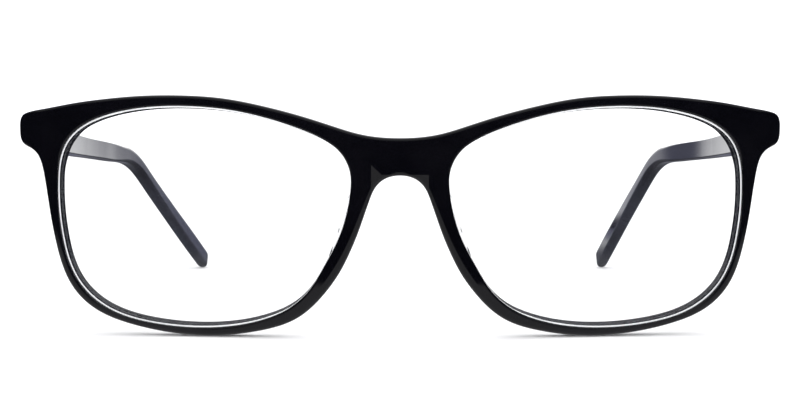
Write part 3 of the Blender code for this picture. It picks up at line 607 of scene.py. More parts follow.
def black_acetate(name, grain, temple):
    """Polished black cellulose acetate: a faint tumble-polish waviness, hairline
    buffing marks along the piece, slight depth in the black, and a little dust."""
    material, tree, shader = new_material(name)
    coords = tree.object_coords()
    cloud = tree.noise(coords, scale=95.0, detail=4.0, rough=0.55)
    colour = tree.mix(tree.ramp(cloud, span=(0.35, 0.68)),
                      off=(0.0012, 0.0012, 0.0022), on=(0.0024, 0.0023, 0.0036))
    hair = tree.noise(coords, scale=900.0, detail=6.0, rough=0.62, stretch=grain)
    smear = tree.noise(coords, scale=260.0)
    rough = tree.maths("ADD", tree.ramp(smear, span=(0.35, 0.75), to=(0.045, 0.08)),
                       tree.ramp(hair, span=(0.60, 0.80), to=(0.0, 0.05)))
    # Dust: a few specks, each a small part of its cell.
    speck_size, speck_rarity, speck_rough = 0.035, 0.90, 0.6
    cells = tree.feed(tree.add("TexVoronoi"), {"Scale": 330.0, "Vector": coords})
    pick = tree.feed(tree.add("SeparateColor"), {"Color": cells.outputs["Color"]})
    near = tree.maths("LESS_THAN", cells.outputs["Distance"], speck_size)
    rare = tree.maths("GREATER_THAN", pick.outputs["Red"], speck_rarity)
    speck = tree.maths("MULTIPLY", near, rare)
    colour = tree.mix(speck, off=colour, on=(0.13, 0.13, 0.14))
    rough = tree.maths("ADD", rough, tree.maths("MULTIPLY", speck, speck_rough))
    if temple:
        # Painted reflection: the bent-down tip's base colour greys a little, standing in for the
        # sheen reflected on it.
        painted_sheen = tree.ramp(tree.separate(coords)[1], span=TIP_PAINTED_SHEEN)
        colour = tree.mix(painted_sheen, off=colour, on=(0.018, 0.019, 0.026))
    tree.feed(shader, {"Base Color": colour, "Roughness": rough, "IOR": ACETATE_IOR})
    wave = tree.noise(coords, scale=140.0, detail=2.0)
    normal = crowned(tree, coords) if temple else arch_patch(tree, coords)
    normal = tree.bump(wave, strength=0.10, distance=0.00012, before=normal)
    normal = tree.bump(hair, strength=0.03, distance=0.00002, before=normal)
    normal = tree.bump(speck, strength=0.3, distance=0.00003, before=normal)
    tree.feed(shader, {"Normal": normal})
    return material


def sawn_acetate(name):
    """The inside of a lens opening: acetate as the cutter left it, not polished."""
    material, tree, shader = new_material(name)
    coords = tree.object_coords()
    marks = tree.noise(coords, scale=1500.0, detail=4.0, rough=0.6,
                       stretch=(1.0, 0.12, 1.0))
    cloud = tree.noise(coords, scale=160.0)
    tree.feed(shader, {
        "Base Color": tree.mix(cloud, off=(0.0050, 0.0052, 0.0085),
                               on=(0.0090, 0.0095, 0.0145)),
        "Roughness": tree.ramp(marks, span=(0.3, 0.7), to=(0.42, 0.60)),
        "IOR": ACETATE_IOR,
        "Specular IOR Level": 0.02,
        "Normal": tree.bump(marks, strength=0.10, distance=0.00003)})
    return material


def clear_to_shadows(tree, shader, share):
    """Light passes straight through for shadows, as it nearly does through a thin
    clear sheet."""
    path = tree.add("LightPath")
    through = tree.feed(tree.add("BsdfTransparent"), {"Color": (share, share, share)})
    either = tree.maths("MAXIMUM", path.outputs["Is Shadow Ray"],
                        path.outputs["Is Diffuse Ray"])
    tree.feed(tree.nodes["Material Output"], {
        "Surface": tree.mix_shader(either, off=shader.outputs[0],
                                   on=through.outputs[0])})


def lens_plastic(name):
    """The demo lens's two faces: clear, with the faintest smear of handling."""
    material, tree, shader = new_material(name)
    coords = tree.object_coords()
    smear = tree.noise(coords, scale=70.0, detail=5.0, rough=0.6,
                       stretch=(1.0, 1.0, 0.45))
    tree.feed(shader, {
        "Roughness": tree.ramp(smear, span=(0.5, 0.85), to=(0.0, 0.02)),
        "Base Color": tree.mix(smear, off=(0.985, 0.99, 0.995), on=(0.995, 0.998, 1.0)),
        "Transmission Weight": 1.0,
        "IOR": ACETATE_IOR})
    wave = tree.noise(coords, scale=18.0, detail=1.0, rough=0.4)
    tree.feed(shader, {"Normal": tree.bump(wave, strength=0.02, distance=0.0002)})
    clear_to_shadows(tree, shader, share=0.96)
    return material


def lens_bevel(name):
    """The ground edge of the demo lens: a fine white frost with grinding lines, and a little
    painted light as emission.
    """
    material, tree, shader = new_material(name)
    coords = tree.object_coords()
    lines = tree.noise(coords, scale=2600.0, rough=0.6, stretch=(1.0, 0.2, 1.0))
    cloud = tree.noise(coords, scale=320.0)
    colour = tree.mix(cloud, off=(0.90, 0.92, 0.94), on=(0.98, 0.99, 1.0))
    tree.feed(shader, {
        "Base Color": colour,
        "Roughness": tree.ramp(lines, span=(0.3, 0.7), to=(0.45, 0.75)),
        "IOR": ACETATE_IOR,
        "Transmission Weight": 0.08,
        # Painted light: a small emission stands in for the light the sheet pipes to its edge, so
        # the frost glows a little.
        "Emission Color": colour,
        "Emission Strength": tree.ramp(cloud, span=(0.3, 0.7), to=(0.45, 0.60)),
        "Normal": tree.bump(lines, strength=0.25, distance=0.00002)})
    through = tree.feed(tree.add("BsdfTranslucent"), {"Color": colour})
    both = tree.mix_shader(factor=0.12, off=shader.outputs[0], on=through.outputs[0])
    tree.feed(tree.nodes["Material Output"], {"Surface": both})
    return material


def pad_plastic(name):
    """Clear moulded acetate, softly polished."""
    material, tree, shader = new_material(name)
    coords = tree.object_coords()
    cloud = tree.noise(coords, scale=220.0)
    colour = tree.mix(cloud, off=(0.97, 0.975, 0.98), on=(0.99, 0.993, 0.995))
    # Painted shade: the base colour greys towards its outline, where the eye looks along the
    # surface.
    edge = tree.feed(tree.add("LayerWeight"), {"Blend": 0.5})
    colour = tree.mix(tree.ramp(edge.outputs["Facing"], span=(0.55, 0.97)),
                      off=colour, on=(0.45, 0.45, 0.46))
    ripple = {"strength": 0.03, "distance": 0.00003}
    tree.feed(shader, {
        "Base Color": colour,
        "Roughness": tree.ramp(cloud, span=(0.35, 0.75), to=(0.02, 0.07)),
        "Transmission Weight": 1.0,
        "IOR": 1.48,
        "Normal": tree.bump(tree.noise(coords, scale=500.0, detail=2.0), **ripple)})
    clear_to_shadows(tree, shader, share=0.9)
    return material


def metal(name, dark, light, rough, grain):
    """Drawn or turned metal: fine lines along the grain, a slightly uneven tone."""
    material, tree, shader = new_material(name)
    coords = tree.object_coords()
    lines = tree.noise(coords, scale=2200.0, detail=5.0, rough=0.6, stretch=grain)
    cloud = tree.noise(coords, scale=420.0, detail=4.0, rough=0.55)
    # The mean of the lines and the cloud.
    both = tree.maths("MULTIPLY_ADD", lines, 0.5, 0.0)
    tree.feed(both.node, {2: tree.maths("MULTIPLY", cloud, 0.5)})
    tree.feed(shader, {
        "Base Color": tree.mix(tree.ramp(both, span=(0.35, 0.65)), off=dark, on=light),
        "Metallic": 1.0,
        "Roughness": tree.ramp(lines, span=(0.25, 0.75), to=(rough, rough + 0.14)),
        "Normal": tree.bump(lines, strength=0.18, distance=0.00002)})
    return material


ACETATE_FRONT = black_acetate("acetate_front", grain=(1.0, 1.0, 0.3), temple=False)
ACETATE_TEMPLE = black_acetate("acetate_temple", grain=(1.0, 0.08, 1.0), temple=True)
ACETATE_SAWN = sawn_acetate("acetate_opening_wall")
LENS = lens_plastic("demo_lens_faces")
BEVEL = lens_bevel("demo_lens_ground_edge")
# Painted shadow: the lens's ground edge behind its apex, in the groove's shade, gets the dark
# sawn-acetate look instead of its white frost.
LENS_EDGE_SHADE = sawn_acetate("demo_lens_edge_painted_groove_shade")
PAD = pad_plastic("pad_clear_acetate")
LEAF = metal("hinge_nickel_silver", dark=(0.42, 0.40, 0.37), light=(0.66, 0.64, 0.60),
             rough=0.20, grain=(1.0, 0.06, 1.0))
SCREW = metal("screw_steel", dark=(0.50, 0.50, 0.50), light=(0.74, 0.73, 0.72),
              rough=0.16, grain=(1.0, 1.0, 0.2))
WIRE = metal("core_wire_nickel_silver", dark=(0.46, 0.43, 0.38),
             light=(0.64, 0.60, 0.54), rough=0.28, grain=(1.0, 0.05, 1.0))


def dress(obj, body, slot, node, *materials):
    # Changing the material list resets the faces' slots, so they are put back.
    slots = np.zeros(len(obj.data.polygons), np.int32)
    obj.data.polygons.foreach_get("material_index", slots)
    obj.data.materials.clear()
    for material in materials:
        obj.data.materials.append(material)
    obj.data.polygons.foreach_set("material_index", np.minimum(slots, len(materials) - 1))
    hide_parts(node)
    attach(obj, body)


# ---------------------------------------------------------------------- front
def bridge_line(ring):
    """Points up the middle of the bridge, from the arch to the top."""
    top, arch = ring[0], ring[-1]
    share = (np.arange(BRIDGE_POINTS) + 1) / (BRIDGE_POINTS + 1)
    return arch + (top - arch) * share[:, None]


def opening_profile(outward):
    """(offset from the opening's contour, depth, slot of the band that follows)."""
    inset = REAR_INSET[0] + REAR_INSET[1] * outward[:, 1] ** 4
    zero = np.zeros(len(outward))
    lip, soft = LIP_CHAMFER, LIP_ROUND
    rows = [(zero + lip + soft, 0.0, POLISHED),
            (zero + lip + 0.35 * soft, 0.012, POLISHED),
            (zero + lip - 0.4 * soft, 0.055, POLISHED),
            (zero + 0.4 * soft + 0.03, lip - 0.04, POLISHED),
            (zero + 0.010, lip + 0.02, POLISHED),
            (zero, lip + soft, SAWN), (zero, GROOVE_FROM, SAWN),
            (zero + GROOVE_DEPTH, GROOVE_APEX, SAWN), (zero, GROOVE_TO, SAWN)]
    rear_wall = FRONT_THICKNESS - REAR_CHAMFER - GROOVE_TO
    for share in (0.25, 0.5, 0.75, 1.0):
        rows.append((-inset * share, GROOVE_TO + rear_wall * share, SAWN))
    for degrees in (22.5, 45, 67.5, 90):
        angle = math.radians(degrees)
        rows.append((-inset + REAR_CHAMFER * (1 - math.cos(angle)),
                     FRONT_THICKNESS - REAR_CHAMFER * (1 - math.sin(angle)), POLISHED))
    return rows


def rim_profile(outer, inward):
    """(ring, depth) from the front face over the outer edge to the rear face."""
    low = smoothstep(-outer[:, 1], -9.0, 2.0)
    radius = EDGE_ROUND_TOP + (EDGE_ROUND_LOW - EDGE_ROUND_TOP) * low
    corner = smoothstep(-outer[:, 0], 66.5, 68.5) * smoothstep(outer[:, 1], 11.0, 13.0)
    radius = radius * (1 - 0.35 * corner)
    rear = EDGE_ROUND_REAR * (1 - 0.2 * corner)
    rim = []
    for angle in np.radians(np.linspace(0, 90, ARC_STEPS + 1)):
        rim.append((outer + inward * (radius * (1 - math.sin(angle)))[:, None],
                    radius * (1 - math.cos(angle))))
    for share in (0.03, 0.35, 0.65, 0.97):
        rim.append((outer, radius + (FRONT_THICKNESS - rear - radius) * share))
    for angle in np.radians(np.linspace(0, 90, ARC_STEPS - 1)):
        rim.append((outer + inward * (rear * (1 - math.cos(angle)))[:, None],
                    FRONT_THICKNESS - rear * (1 - math.sin(angle))))
    return rim


def build_front():
    """The front, and the right opening's points and outward normals."""
    outer, inward = outer_half(OUTER_POINTS)
    rim = rim_profile(outer, inward)
    shape = Shape()
    rows = [shape.row(bend(ring, depth)) for ring, depth in rim]
    for a, b in zip(rows, rows[1:]):
        shape.strip(a, b, closed=False)

    points, outward = opening_loop(np.vstack([outer, bridge_line(outer)]))
    inner = [(points + outward * offset[:, None], depth, slot)
             for offset, depth, slot in opening_profile(outward)]
    wall = [shape.row(bend(ring, depth)) for ring, depth, _ in inner]
    for a, b, (_, _, slot) in zip(wall, wall[1:], inner):
        shape.strip(a, b, slot=slot)

    # The front and rear faces, in several steps between the rim and the opening.
    for end, depth in ((0, 0.0), (-1, FRONT_THICKNESS)):
        ring, target = rim[end][0], inner[end][0]
        middle = bridge_line(ring)
        before = np.concatenate([rows[end], shape.row(bend(middle, depth))])
        loop = np.vstack([ring, middle])
        for share in (0.02, 0.10, 0.24, 0.42, 0.6, 0.78, 0.91, 0.98):
            now = shape.row(bend(loop + (target - loop) * share, depth))
            shape.strip(before, now)
            before = now
        shape.strip(before, wall[end])

    # The other half is its mirror image.
    half = shape.array()
    both = np.vstack([half, half * (-1, 1, 1)])
    faces = shape.faces + [tuple(len(half) + i for i in reversed(face))
                           for face in shape.faces]
    return mesh_from("look_front", both, faces, shape.slots * 2), points, outward


def build_lens(name, side, points, outward):
    middle = np.array(LENS_MIDDLE)
    mirror = (-side, 1, 1)
    rim = -LENS_GAP
    apex = GROOVE_DEPTH - 0.14
    shares = (0.10, 0.25, 0.4, 0.55, 0.68, 0.79, 0.88, 0.94, 0.975)

    def dome(share, depth):
        return bend(middle + (points + outward * rim - middle) * share,
                    depth - LENS_DOME * (1 - share**2)) * mirror

    # On the nasal side the bevel starts right behind the lip of the rim.
    nasal = smoothstep(outward[:, 0], 0.1, 0.7)
    # Offset from the contour, nasal offset from the lens's rim, depth, slot of the
    # band that follows. Frost on the front slope; behind its apex the edge is painted dark, a
    # painted shadow of the groove.
    edge = [(rim - 0.20, 0.03, LENS_FRONT - 0.006, FACE),
            (rim - 0.17, 0.045, LENS_FRONT + 0.006, FROST),
            (rim, 0.06, LENS_FRONT + 0.07, FROST),
            (apex - 0.02, None, GROOVE_APEX - 0.02, FROST),
            (apex, None, GROOVE_APEX, GROOVE_SHADE),
            (apex - 0.02, None, GROOVE_APEX + 0.02, GROOVE_SHADE),
            (rim, None, GROOVE_TO - 0.08, GROOVE_SHADE),
            (rim - 0.12, -0.02, LENS_REAR - 0.02, GROOVE_SHADE),
            (rim - 0.16, -0.04, LENS_REAR, FACE)]
    rows = [(dome(share, LENS_FRONT), FACE) for share in shares]
    for offset, near, depth, slot in edge:
        if near is not None:
            offset = offset + nasal * (rim + near - offset)
        ring = points + outward * np.reshape(offset, (-1, 1))
        rows.append((bend(ring, depth) * mirror, slot))
    rows += [(dome(share, LENS_REAR), FACE) for share in shares[::-1]]
    shape = Shape()
    made = [shape.row(ring) for ring, _ in rows]
    for a, b, (_, slot) in zip(made, made[1:], rows):
        shape.strip(a, b, slot=slot)
    for row, depth in ((made[0], LENS_FRONT), (made[-1], LENS_REAR)):
        centre = shape.row(bend(middle[None], depth - LENS_DOME) * mirror)
        for i in range(len(row)):
            shape.face((row[i], row[(i + 1) % len(row)], centre[0]))
    return shape.mesh(name, sharp=8)


# ----------------------------------------------------------------------- pads
def rounded_polygon(polygon, times, keep=0.22):
    """Corner cutting: each corner is replaced by two points on its sides."""
    points = np.array(polygon, float)
    for _ in range(times):
        ahead = np.roll(points, -1, axis=0)
        points = np.stack([points + (ahead - points) * keep,
                           ahead + (points - ahead) * keep], axis=1)
        points = points.reshape(-1, points.shape[-1])
    return points


def build_pad(name, side):
    line = cubic(PAD_LINE, False, 60)
    tangent = unit(np.gradient(line, axis=0))
    even = np.linspace(0, 1, PAD_STATIONS)
    gathered = 0.5 - 0.5 * np.cos(np.pi * np.arange(PAD_STATIONS) / (PAD_STATIONS - 1))
    rings = []
    for share in 0.35 * gathered + 0.65 * even:
        at = share * (len(line) - 1)
        point = interp_rows(at, range(len(line)), line)
        ahead = unit(interp_rows(at, range(len(line)), tangent))
        from_middle = abs(2.0 * share - 1.0)
        size = math.sqrt(max(0.0, 1.0 - from_middle ** 2.6 * 0.94))
        across = np.array([ahead[1], -ahead[0]])
        if across[0] > 0:
            across = -across
        width = 0.55 + 0.45 * size
        corners = []
        for k, (away, height) in enumerate(PAD_SECTION):
            flat = point + across * away * width
            depth = FRONT_THICKNESS + PAD_GAP + height * PAD_HEIGHT * size
            x, y, z = bend(flat[None], depth)[0]
            if k in PAD_FACE_CORNERS:
                face = (PAD_FACE_Y + (abs(x) - PAD_FACE_X) * PAD_SLOPE_X
                        + (z - PAD_FACE_Z) * PAD_SLOPE_Z)
                blend = float(smoothstep(1 - from_middle, 0.0, 0.22))
                y = y + (face - y) * blend
            corners.append((-x * side, y, z))
        rings.append(rounded_polygon(corners, times=3))
    shape = Shape()
    made = shape.rows(rings)
    for end in (0, -1):
        ring, before = rings[end], made[end]
        middle = ring.mean(axis=0)
        for share in (0.9, 0.6, 0.25):
            now = shape.row(middle + (ring - middle) * share)
            shape.strip(before, now)
            before = now
        shape.face(before)
    return shape.mesh(name, sharp=0)


# --------------------------------------------------------------------- temple
def straight_part():
    """Middle line (y, z) up to the bend, and the heights along it."""
    upper, lower = cubic(TEMPLE_UPPER, False), cubic(TEMPLE_LOWER, False)
    y = np.concatenate([[TEMPLE_START_Y], np.linspace(14, 34, 5),
                        np.linspace(42, BEND_Y, 9)])
    top = np.interp(y, upper[:, 0], upper[:, 1])
    low = np.interp(y, lower[:, 0], lower[:, 1])
    return np.stack([y, (top + low) / 2], axis=1), top - low


def tail(start, slope, turn):
    """Middle line (y, z) of the bend and of the tail after it."""
    bend_steps, tail_steps = 7, 6
    points, point, angle = [], start, slope
    step = turn / bend_steps
    for _ in range(bend_steps):
        angle -= step
        point = point + BEND_RADIUS * turn / bend_steps * np.array(
            [math.cos(angle + step / 2), math.sin(angle + step / 2)])
        points.append(point)
    length = TAIL_LENGTH - BEND_RADIUS * turn
    for _ in range(tail_steps):
        angle -= TAIL_STEP_TURN
        point = point + length / tail_steps * np.array([math.cos(angle), math.sin(angle)])
        points.append(point)
    return points


def temple_path(side, turn, count):
    """Dense run, y, z, middle x, height and thickness along the temple."""
    line, height = straight_part()
    slope = math.atan2(line[-1][1] - line[-3][1], line[-1][0] - line[-3][0])
    straight = len(line)
    line = np.vstack([line, tail(line[-1], slope, turn)])
    run = run_along(line)
    after = run[straight:] - run[straight - 1]
    height = np.concatenate([height, np.interp(after, TAIL_AT, TAIL_HEIGHT)])
    inner = np.where(run < SPREAD_FROM, TEMPLE_INNER_X,
                     TEMPLE_INNER_X + TEMPLE_SPREAD * smoothstep(run, SPREAD_FROM,
                                                                 SPREAD_TO))
    thick = np.interp(run, THICKNESS_AT, THICKNESS)
    middle = inner + thick / 2
    curl_from, power = CURL[side]
    bent = middle[straight - 1] - TIP_X[side]
    at = np.linspace(0, run[-1], count)
    x = np.interp(at, run, middle)
    x = x - bent * np.clip((at - curl_from) / (run[-1] - curl_from), 0, 1) ** power
    # The curl starts gently: a weighted moving average, a fifth of the points wide.
    half = count // 10
    kernel = np.hanning(2 * half + 1) / np.hanning(2 * half + 1).sum()
    padded = np.concatenate([np.full(half, x[0]), x,
                             x[-1] + (x[-1] - x[-2]) * np.arange(1, half + 1)])
    x = np.convolve(padded, kernel, "valid")
    return (at, spline(run, line[:, 0], at), spline(run, line[:, 1], at), x,
            spline(run, height, at), np.interp(at, run, thick))


def section_loop(height, thick, radius):
    """A rounded rectangle (across, up) with holding points beside each arc."""
    hold = 0.06
    radius = min(radius, height / 2 - 0.05, thick / 2 - 0.05)
    loop = []
    for sign_x, sign_z, start in ((1, 1, 0), (-1, 1, 90), (-1, -1, 180), (1, -1, 270)):
        angle = np.radians(start + np.linspace(0, 90, 10))
        points = np.stack([sign_x * (thick / 2 - radius) + radius * np.cos(angle),
                           sign_z * (height / 2 - radius) + radius * np.sin(angle)],
                          axis=1)
        first = np.array([math.sin(angle[0]), -math.cos(angle[0])]) * hold
        last = np.array([-math.sin(angle[-1]), math.cos(angle[-1])]) * hold
        loop += [points[0] + first, *points, points[-1] + last]
    return np.array(loop)


def temple_rings(side, turn, count):
    run, y, z, x, height, thick = temple_path(side, turn, count)
    pitch = np.arctan2(np.gradient(z, run), np.gradient(y, run)) * smoothstep(run, 0.0, 5.0)
    lateral = np.gradient(x, run) * smoothstep(run, 0.0, 5.0)
    # (path point, size, distance past it); the last ones round off the tip.
    stations = [(i, 1.0, 0.0) for i in range(count)]
    for degrees in np.linspace(12, 84, 9):
        past = math.sin(math.radians(degrees))
        stations.append((count - 1, math.sqrt(1 - past**2), past * TIP_ROUND))
    rings = []
    for i, size, past in stations:
        ahead_y, ahead_z = math.cos(pitch[i]), math.sin(pitch[i])
        radius = 0.22 + 1.18 * float(smoothstep(run[i], 60, 98))
        across, up = section_loop(height[i] * size, thick[i] * size, radius * size).T
        rings.append(np.stack(
            [side * (x[i] + lateral[i] * past + across),
             y[i] + ahead_y * past - ahead_z * up - lateral[i] * across,
             z[i] + ahead_z * past + ahead_y * up], axis=1))
    return rings


def solved_turn():
    """The bend angle that puts the lowest point of the tip on the table."""
    low, high = math.radians(15), math.radians(60)
    for _ in range(22):
        middle = (low + high) / 2
        if min(ring[:, 2].min() for ring in temple_rings(1, middle, 90)) > 0:
            low = middle
        else:
            high = middle
    return low


def build_temple(name, side, turn):
    rings = temple_rings(side, turn, TEMPLE_RINGS)
    # The square front end is eased.
    first = rings[0]
    middle = first.mean(axis=0)
    start = [middle + (first - middle) * (0.94, 1, 0.96),
             middle + (first - middle) * (0.985, 1, 0.99) + (0, 0.06, 0),
             first + (0, 0.2, 0)]
    last = rings[-1]
    middle = last.mean(axis=0)
    centre = middle + (middle - rings[-2].mean(axis=0)) * 0.35
    temple = tube(name, start + rings[2:] + [centre + (last - middle) * 0.5])
    pocket = box("tool_leaf", side,
                 (TEMPLE_INNER_X - 1.0, TEMPLE_INNER_X + PLATE_THICKNESS + 2 * FIT_GAP),
                 TEMPLE_POCKET_Y, HINGE_POCKET_Z)
    return apply_tools(temple, [(pocket, "DIFFERENCE")])


# ---------------------------------------------------------------------- hinge
def knuckle(name, side, k, outline):
    """Knuckle k, counted from the lowest."""
    low = HINGE_LOW + k * (KNUCKLE_HEIGHT + KNUCKLE_GAP)
    return prism(name, [(side * x, y) for x, y in outline],
                 low, low + KNUCKLE_HEIGHT, KNUCKLE_EASE)


def bored(leaf, side, steps):
    bore = prism("tool_bore", circle(side * HINGE_X, HINGE_Y, PIN_BORE, 64),
                 HINGE_LOW - 1, HINGE_HIGH + 1)
    return apply_tools(leaf, steps + [(bore, "DIFFERENCE")])


def stud(name, side, z, length, reach, radius):
    """A rod from the front plate's front face: forward by length, back by reach."""
    y = FRONT_PLATE_Y[0]
    return rod(name, (side * STUD_X, y - length, z), (side * STUD_X, y + reach, z), radius)


def build_front_leaf(name, side):
    plate_rear = FRONT_PLATE_Y[1]
    leaf = soften(box(name, side, FRONT_PLATE_X, FRONT_PLATE_Y, (HINGE_LOW, HINGE_HIGH)),
                  PLATE_EDGE)
    outline = arc(HINGE_X, HINGE_Y, KNUCKLE_RADIUS, 0, 180, 40) + [
        (HINGE_X - KNUCKLE_RADIUS, plate_rear + 0.9),
        (HINGE_X - 0.4, plate_rear - 0.3),
        (HINGE_X + KNUCKLE_RADIUS, plate_rear - 0.3)]
    steps = [(knuckle(f"tool_knuckle_{k}", side, k, outline), "UNION")
             for k in (0, 2, 4)]
    steps += [(stud(f"tool_stud_{k}", side, z, STUD_LENGTH, 0.43, STUD_RADIUS), "UNION")
              for k, z in enumerate(STUD_Z)]
    return bored(leaf, side, steps)


def build_temple_leaf(name, side):
    leaf = soften(box(name, side, (TEMPLE_PLATE_X, TEMPLE_PLATE_X + PLATE_THICKNESS),
                      TEMPLE_PLATE_Y, (HINGE_LOW, HINGE_HIGH)), PLATE_EDGE)
    outline = arc(HINGE_X, HINGE_Y, KNUCKLE_RADIUS, 95, 350, 52) + [
        (TEMPLE_INNER_X - 0.2, 12.88), (TEMPLE_INNER_X + 0.5, 12.95),
        (TEMPLE_INNER_X + 0.5, 14.9), (TEMPLE_INNER_X - 0.3, 14.9)]
    steps = [(knuckle(f"tool_arm_{k}", side, k, outline), "UNION") for k in (1, 3)]
    # Two round dimples in the plate's inner face.
    for k, y in enumerate(DIMPLE_Y):
        dimple = rod(f"tool_dimple_{k}", (side * (TEMPLE_INNER_X - 0.5), y, HINGE_Z),
                     (side * (TEMPLE_INNER_X + DIMPLE_DEPTH), y, HINGE_Z), DIMPLE_RADIUS)
        steps.append((dimple, "DIFFERENCE"))
    return bored(leaf, side, steps)


def build_screw(name, side):
    low, seat = HINGE_LOW, HINGE_HIGH + SCREW_SEAT
    top = seat + SCREW_HEAD_HEIGHT
    head, flat, crown = SCREW_HEAD_RADIUS, 0.62, 0.22
    # (radius, z) from the foot of the pin to the top of the head.
    profile = [(PIN_RADIUS - 0.16, low - 0.15), (PIN_RADIUS - 0.10, low - 0.14),
               (PIN_RADIUS, low - 0.03)]
    # A fine thread where the pin goes through the lowest knuckle.
    for k in range(8):
        z = low + 0.05 + 0.12 * k
        profile += [(PIN_RADIUS - 0.005, z), (PIN_RADIUS - 0.06, z + 0.06)]
    profile += [(PIN_RADIUS - 0.005, low + 1.03), (PIN_RADIUS, seat),
                (head - 0.04, seat), (head, HINGE_HIGH + 0.09),
                (head, HINGE_HIGH + 0.33), (head - 0.02, HINGE_HIGH + 0.39)]
    for angle in np.radians(np.linspace(25, 90, 6)):
        profile.append((flat + (head - 0.04 - flat) * math.cos(angle),
                        top - crown + crown * math.sin(angle)))
    screw = tube(name, [level_ring(circle(side * HINGE_X, HINGE_Y, radius, 72), z)
                        for radius, z in profile], sharp=28)
    slot = box("tool_slot", side, (HINGE_X - 2, HINGE_X + 2),
               (HINGE_Y - SLOT_WIDTH / 2, HINGE_Y + SLOT_WIDTH / 2),
               (top - SLOT_DEPTH, top + 1))
    return apply_tools(screw, [(slot, "DIFFERENCE")], sharp=28)


def front_cuts(label, side):
    """The pocket for the front leaf and the holes for its studs."""
    pocket = box("tool_pocket_" + label, side,
                 (FRONT_PLATE_X[0] - FIT_GAP, FRONT_PLATE_X[1] + FIT_GAP),
                 (FRONT_PLATE_Y[0] - FIT_GAP, MITRE_Y + 3.0), HINGE_POCKET_Z)
    holes = [stud(f"tool_key_{label}_{k}", side, z, STUD_LENGTH + FIT_GAP, 0.37,
                  STUD_RADIUS + FIT_GAP) for k, z in enumerate(STUD_Z)]
    return [(tool, "DIFFERENCE") for tool in [pocket] + holes]


# ------------------------------------------------------------------- assembly
front, opening, opening_out = build_front()
turn = solved_turn()
cuts = []
for side, label in ((-1, "right"), (1, "left")):
    arm = f"temple_{label}_arm"
    dress(build_lens("look_lens_" + label, side, opening, opening_out), "front",
          "demo_lens", "lens_" + label, LENS, BEVEL, LENS_EDGE_SHADE)
    dress(build_pad("look_nose_pad_" + label, side), "front", "clear_acetate",
          "nose_pad_" + label, PAD)
    dress(build_front_leaf("look_front_hinge_" + label, side), "front", "hinge_metal",
          "front_hinge_" + label, LEAF)
    dress(build_temple_leaf("look_temple_hinge_" + label, side), arm, "hinge_metal",
          "temple_hinge_" + label, LEAF)
    dress(build_screw("look_hinge_screw_" + label, side), "front", "screw_metal",
          "hinge_screw_" + label, SCREW)
    dress(build_temple("look_temple_" + label, side, turn), arm, "black_acetate",
          "temple_" + label, ACETATE_TEMPLE)
    wire = frame["nodes"]["core_wire_" + label]
    wire.data.materials.clear()
    wire.data.materials.append(WIRE)
    cuts += front_cuts(label, side)
apply_tools(front, cuts, solver="MANIFOLD")
dress(front, "front", "black_acetate", "front_frame", ACETATE_FRONT, ACETATE_SAWN)

# ---------------------------------------------------------------------- stage
# In metres. Reflections see tones of their own: a white table near the frame, a
# backdrop behind it and black card on the camera's side.
FRONT_Y = SHIFT_Y / 1000
TABLE_SEEN = 0.045  # how much white table in front of the rims the gloss picks up
TABLE_WIDE = 0.11  # half the width of that white table
TABLE_WHITE, TABLE_BEHIND = (0.46, 0.46, 0.47), (0.20, 0.205, 0.24)
TABLE_BACKLIT, TABLE_ASIDE = (1.3, 1.3, 1.32), (0.02, 0.02, 0.026)
GRADIENT = (0.20, 0.54)  # where the backdrop falls from bright to dim, in radians aside
BRIGHT, DIM = (2.1, 2.1, 2.15), (0.38, 0.39, 0.54)
BLACK_CARD = (0.015, 0.015, 0.02)
OVERHEAD = (0.45, 0.45, 0.46)
EVEN_WHITE = (1.55, 1.55, 1.57)  # the world for all but reflections
CAMERA_DISTANCE, CAMERA_HEIGHT = 0.25, 0.03605


def angle_aside(tree, split):
    """Angle to either side of straight back."""
    return tree.maths("ARCTAN2", tree.maths("ABSOLUTE", split["X"]), split["Y"])


def ray_masks(tree):
    """Masks for plain reflections and for reflections seen through a clear piece."""
    path = tree.add("LightPath").outputs
    through = tree.maths("SUBTRACT", 1.0, path["Is Transmission Ray"])
    mirrored = tree.maths("MULTIPLY", path["Is Glossy Ray"], through)
    ghost = tree.maths("MULTIPLY", path["Is Transmission Ray"],
                       tree.maths("MINIMUM", path["Glossy Depth"], 1.0))
    return mirrored, ghost


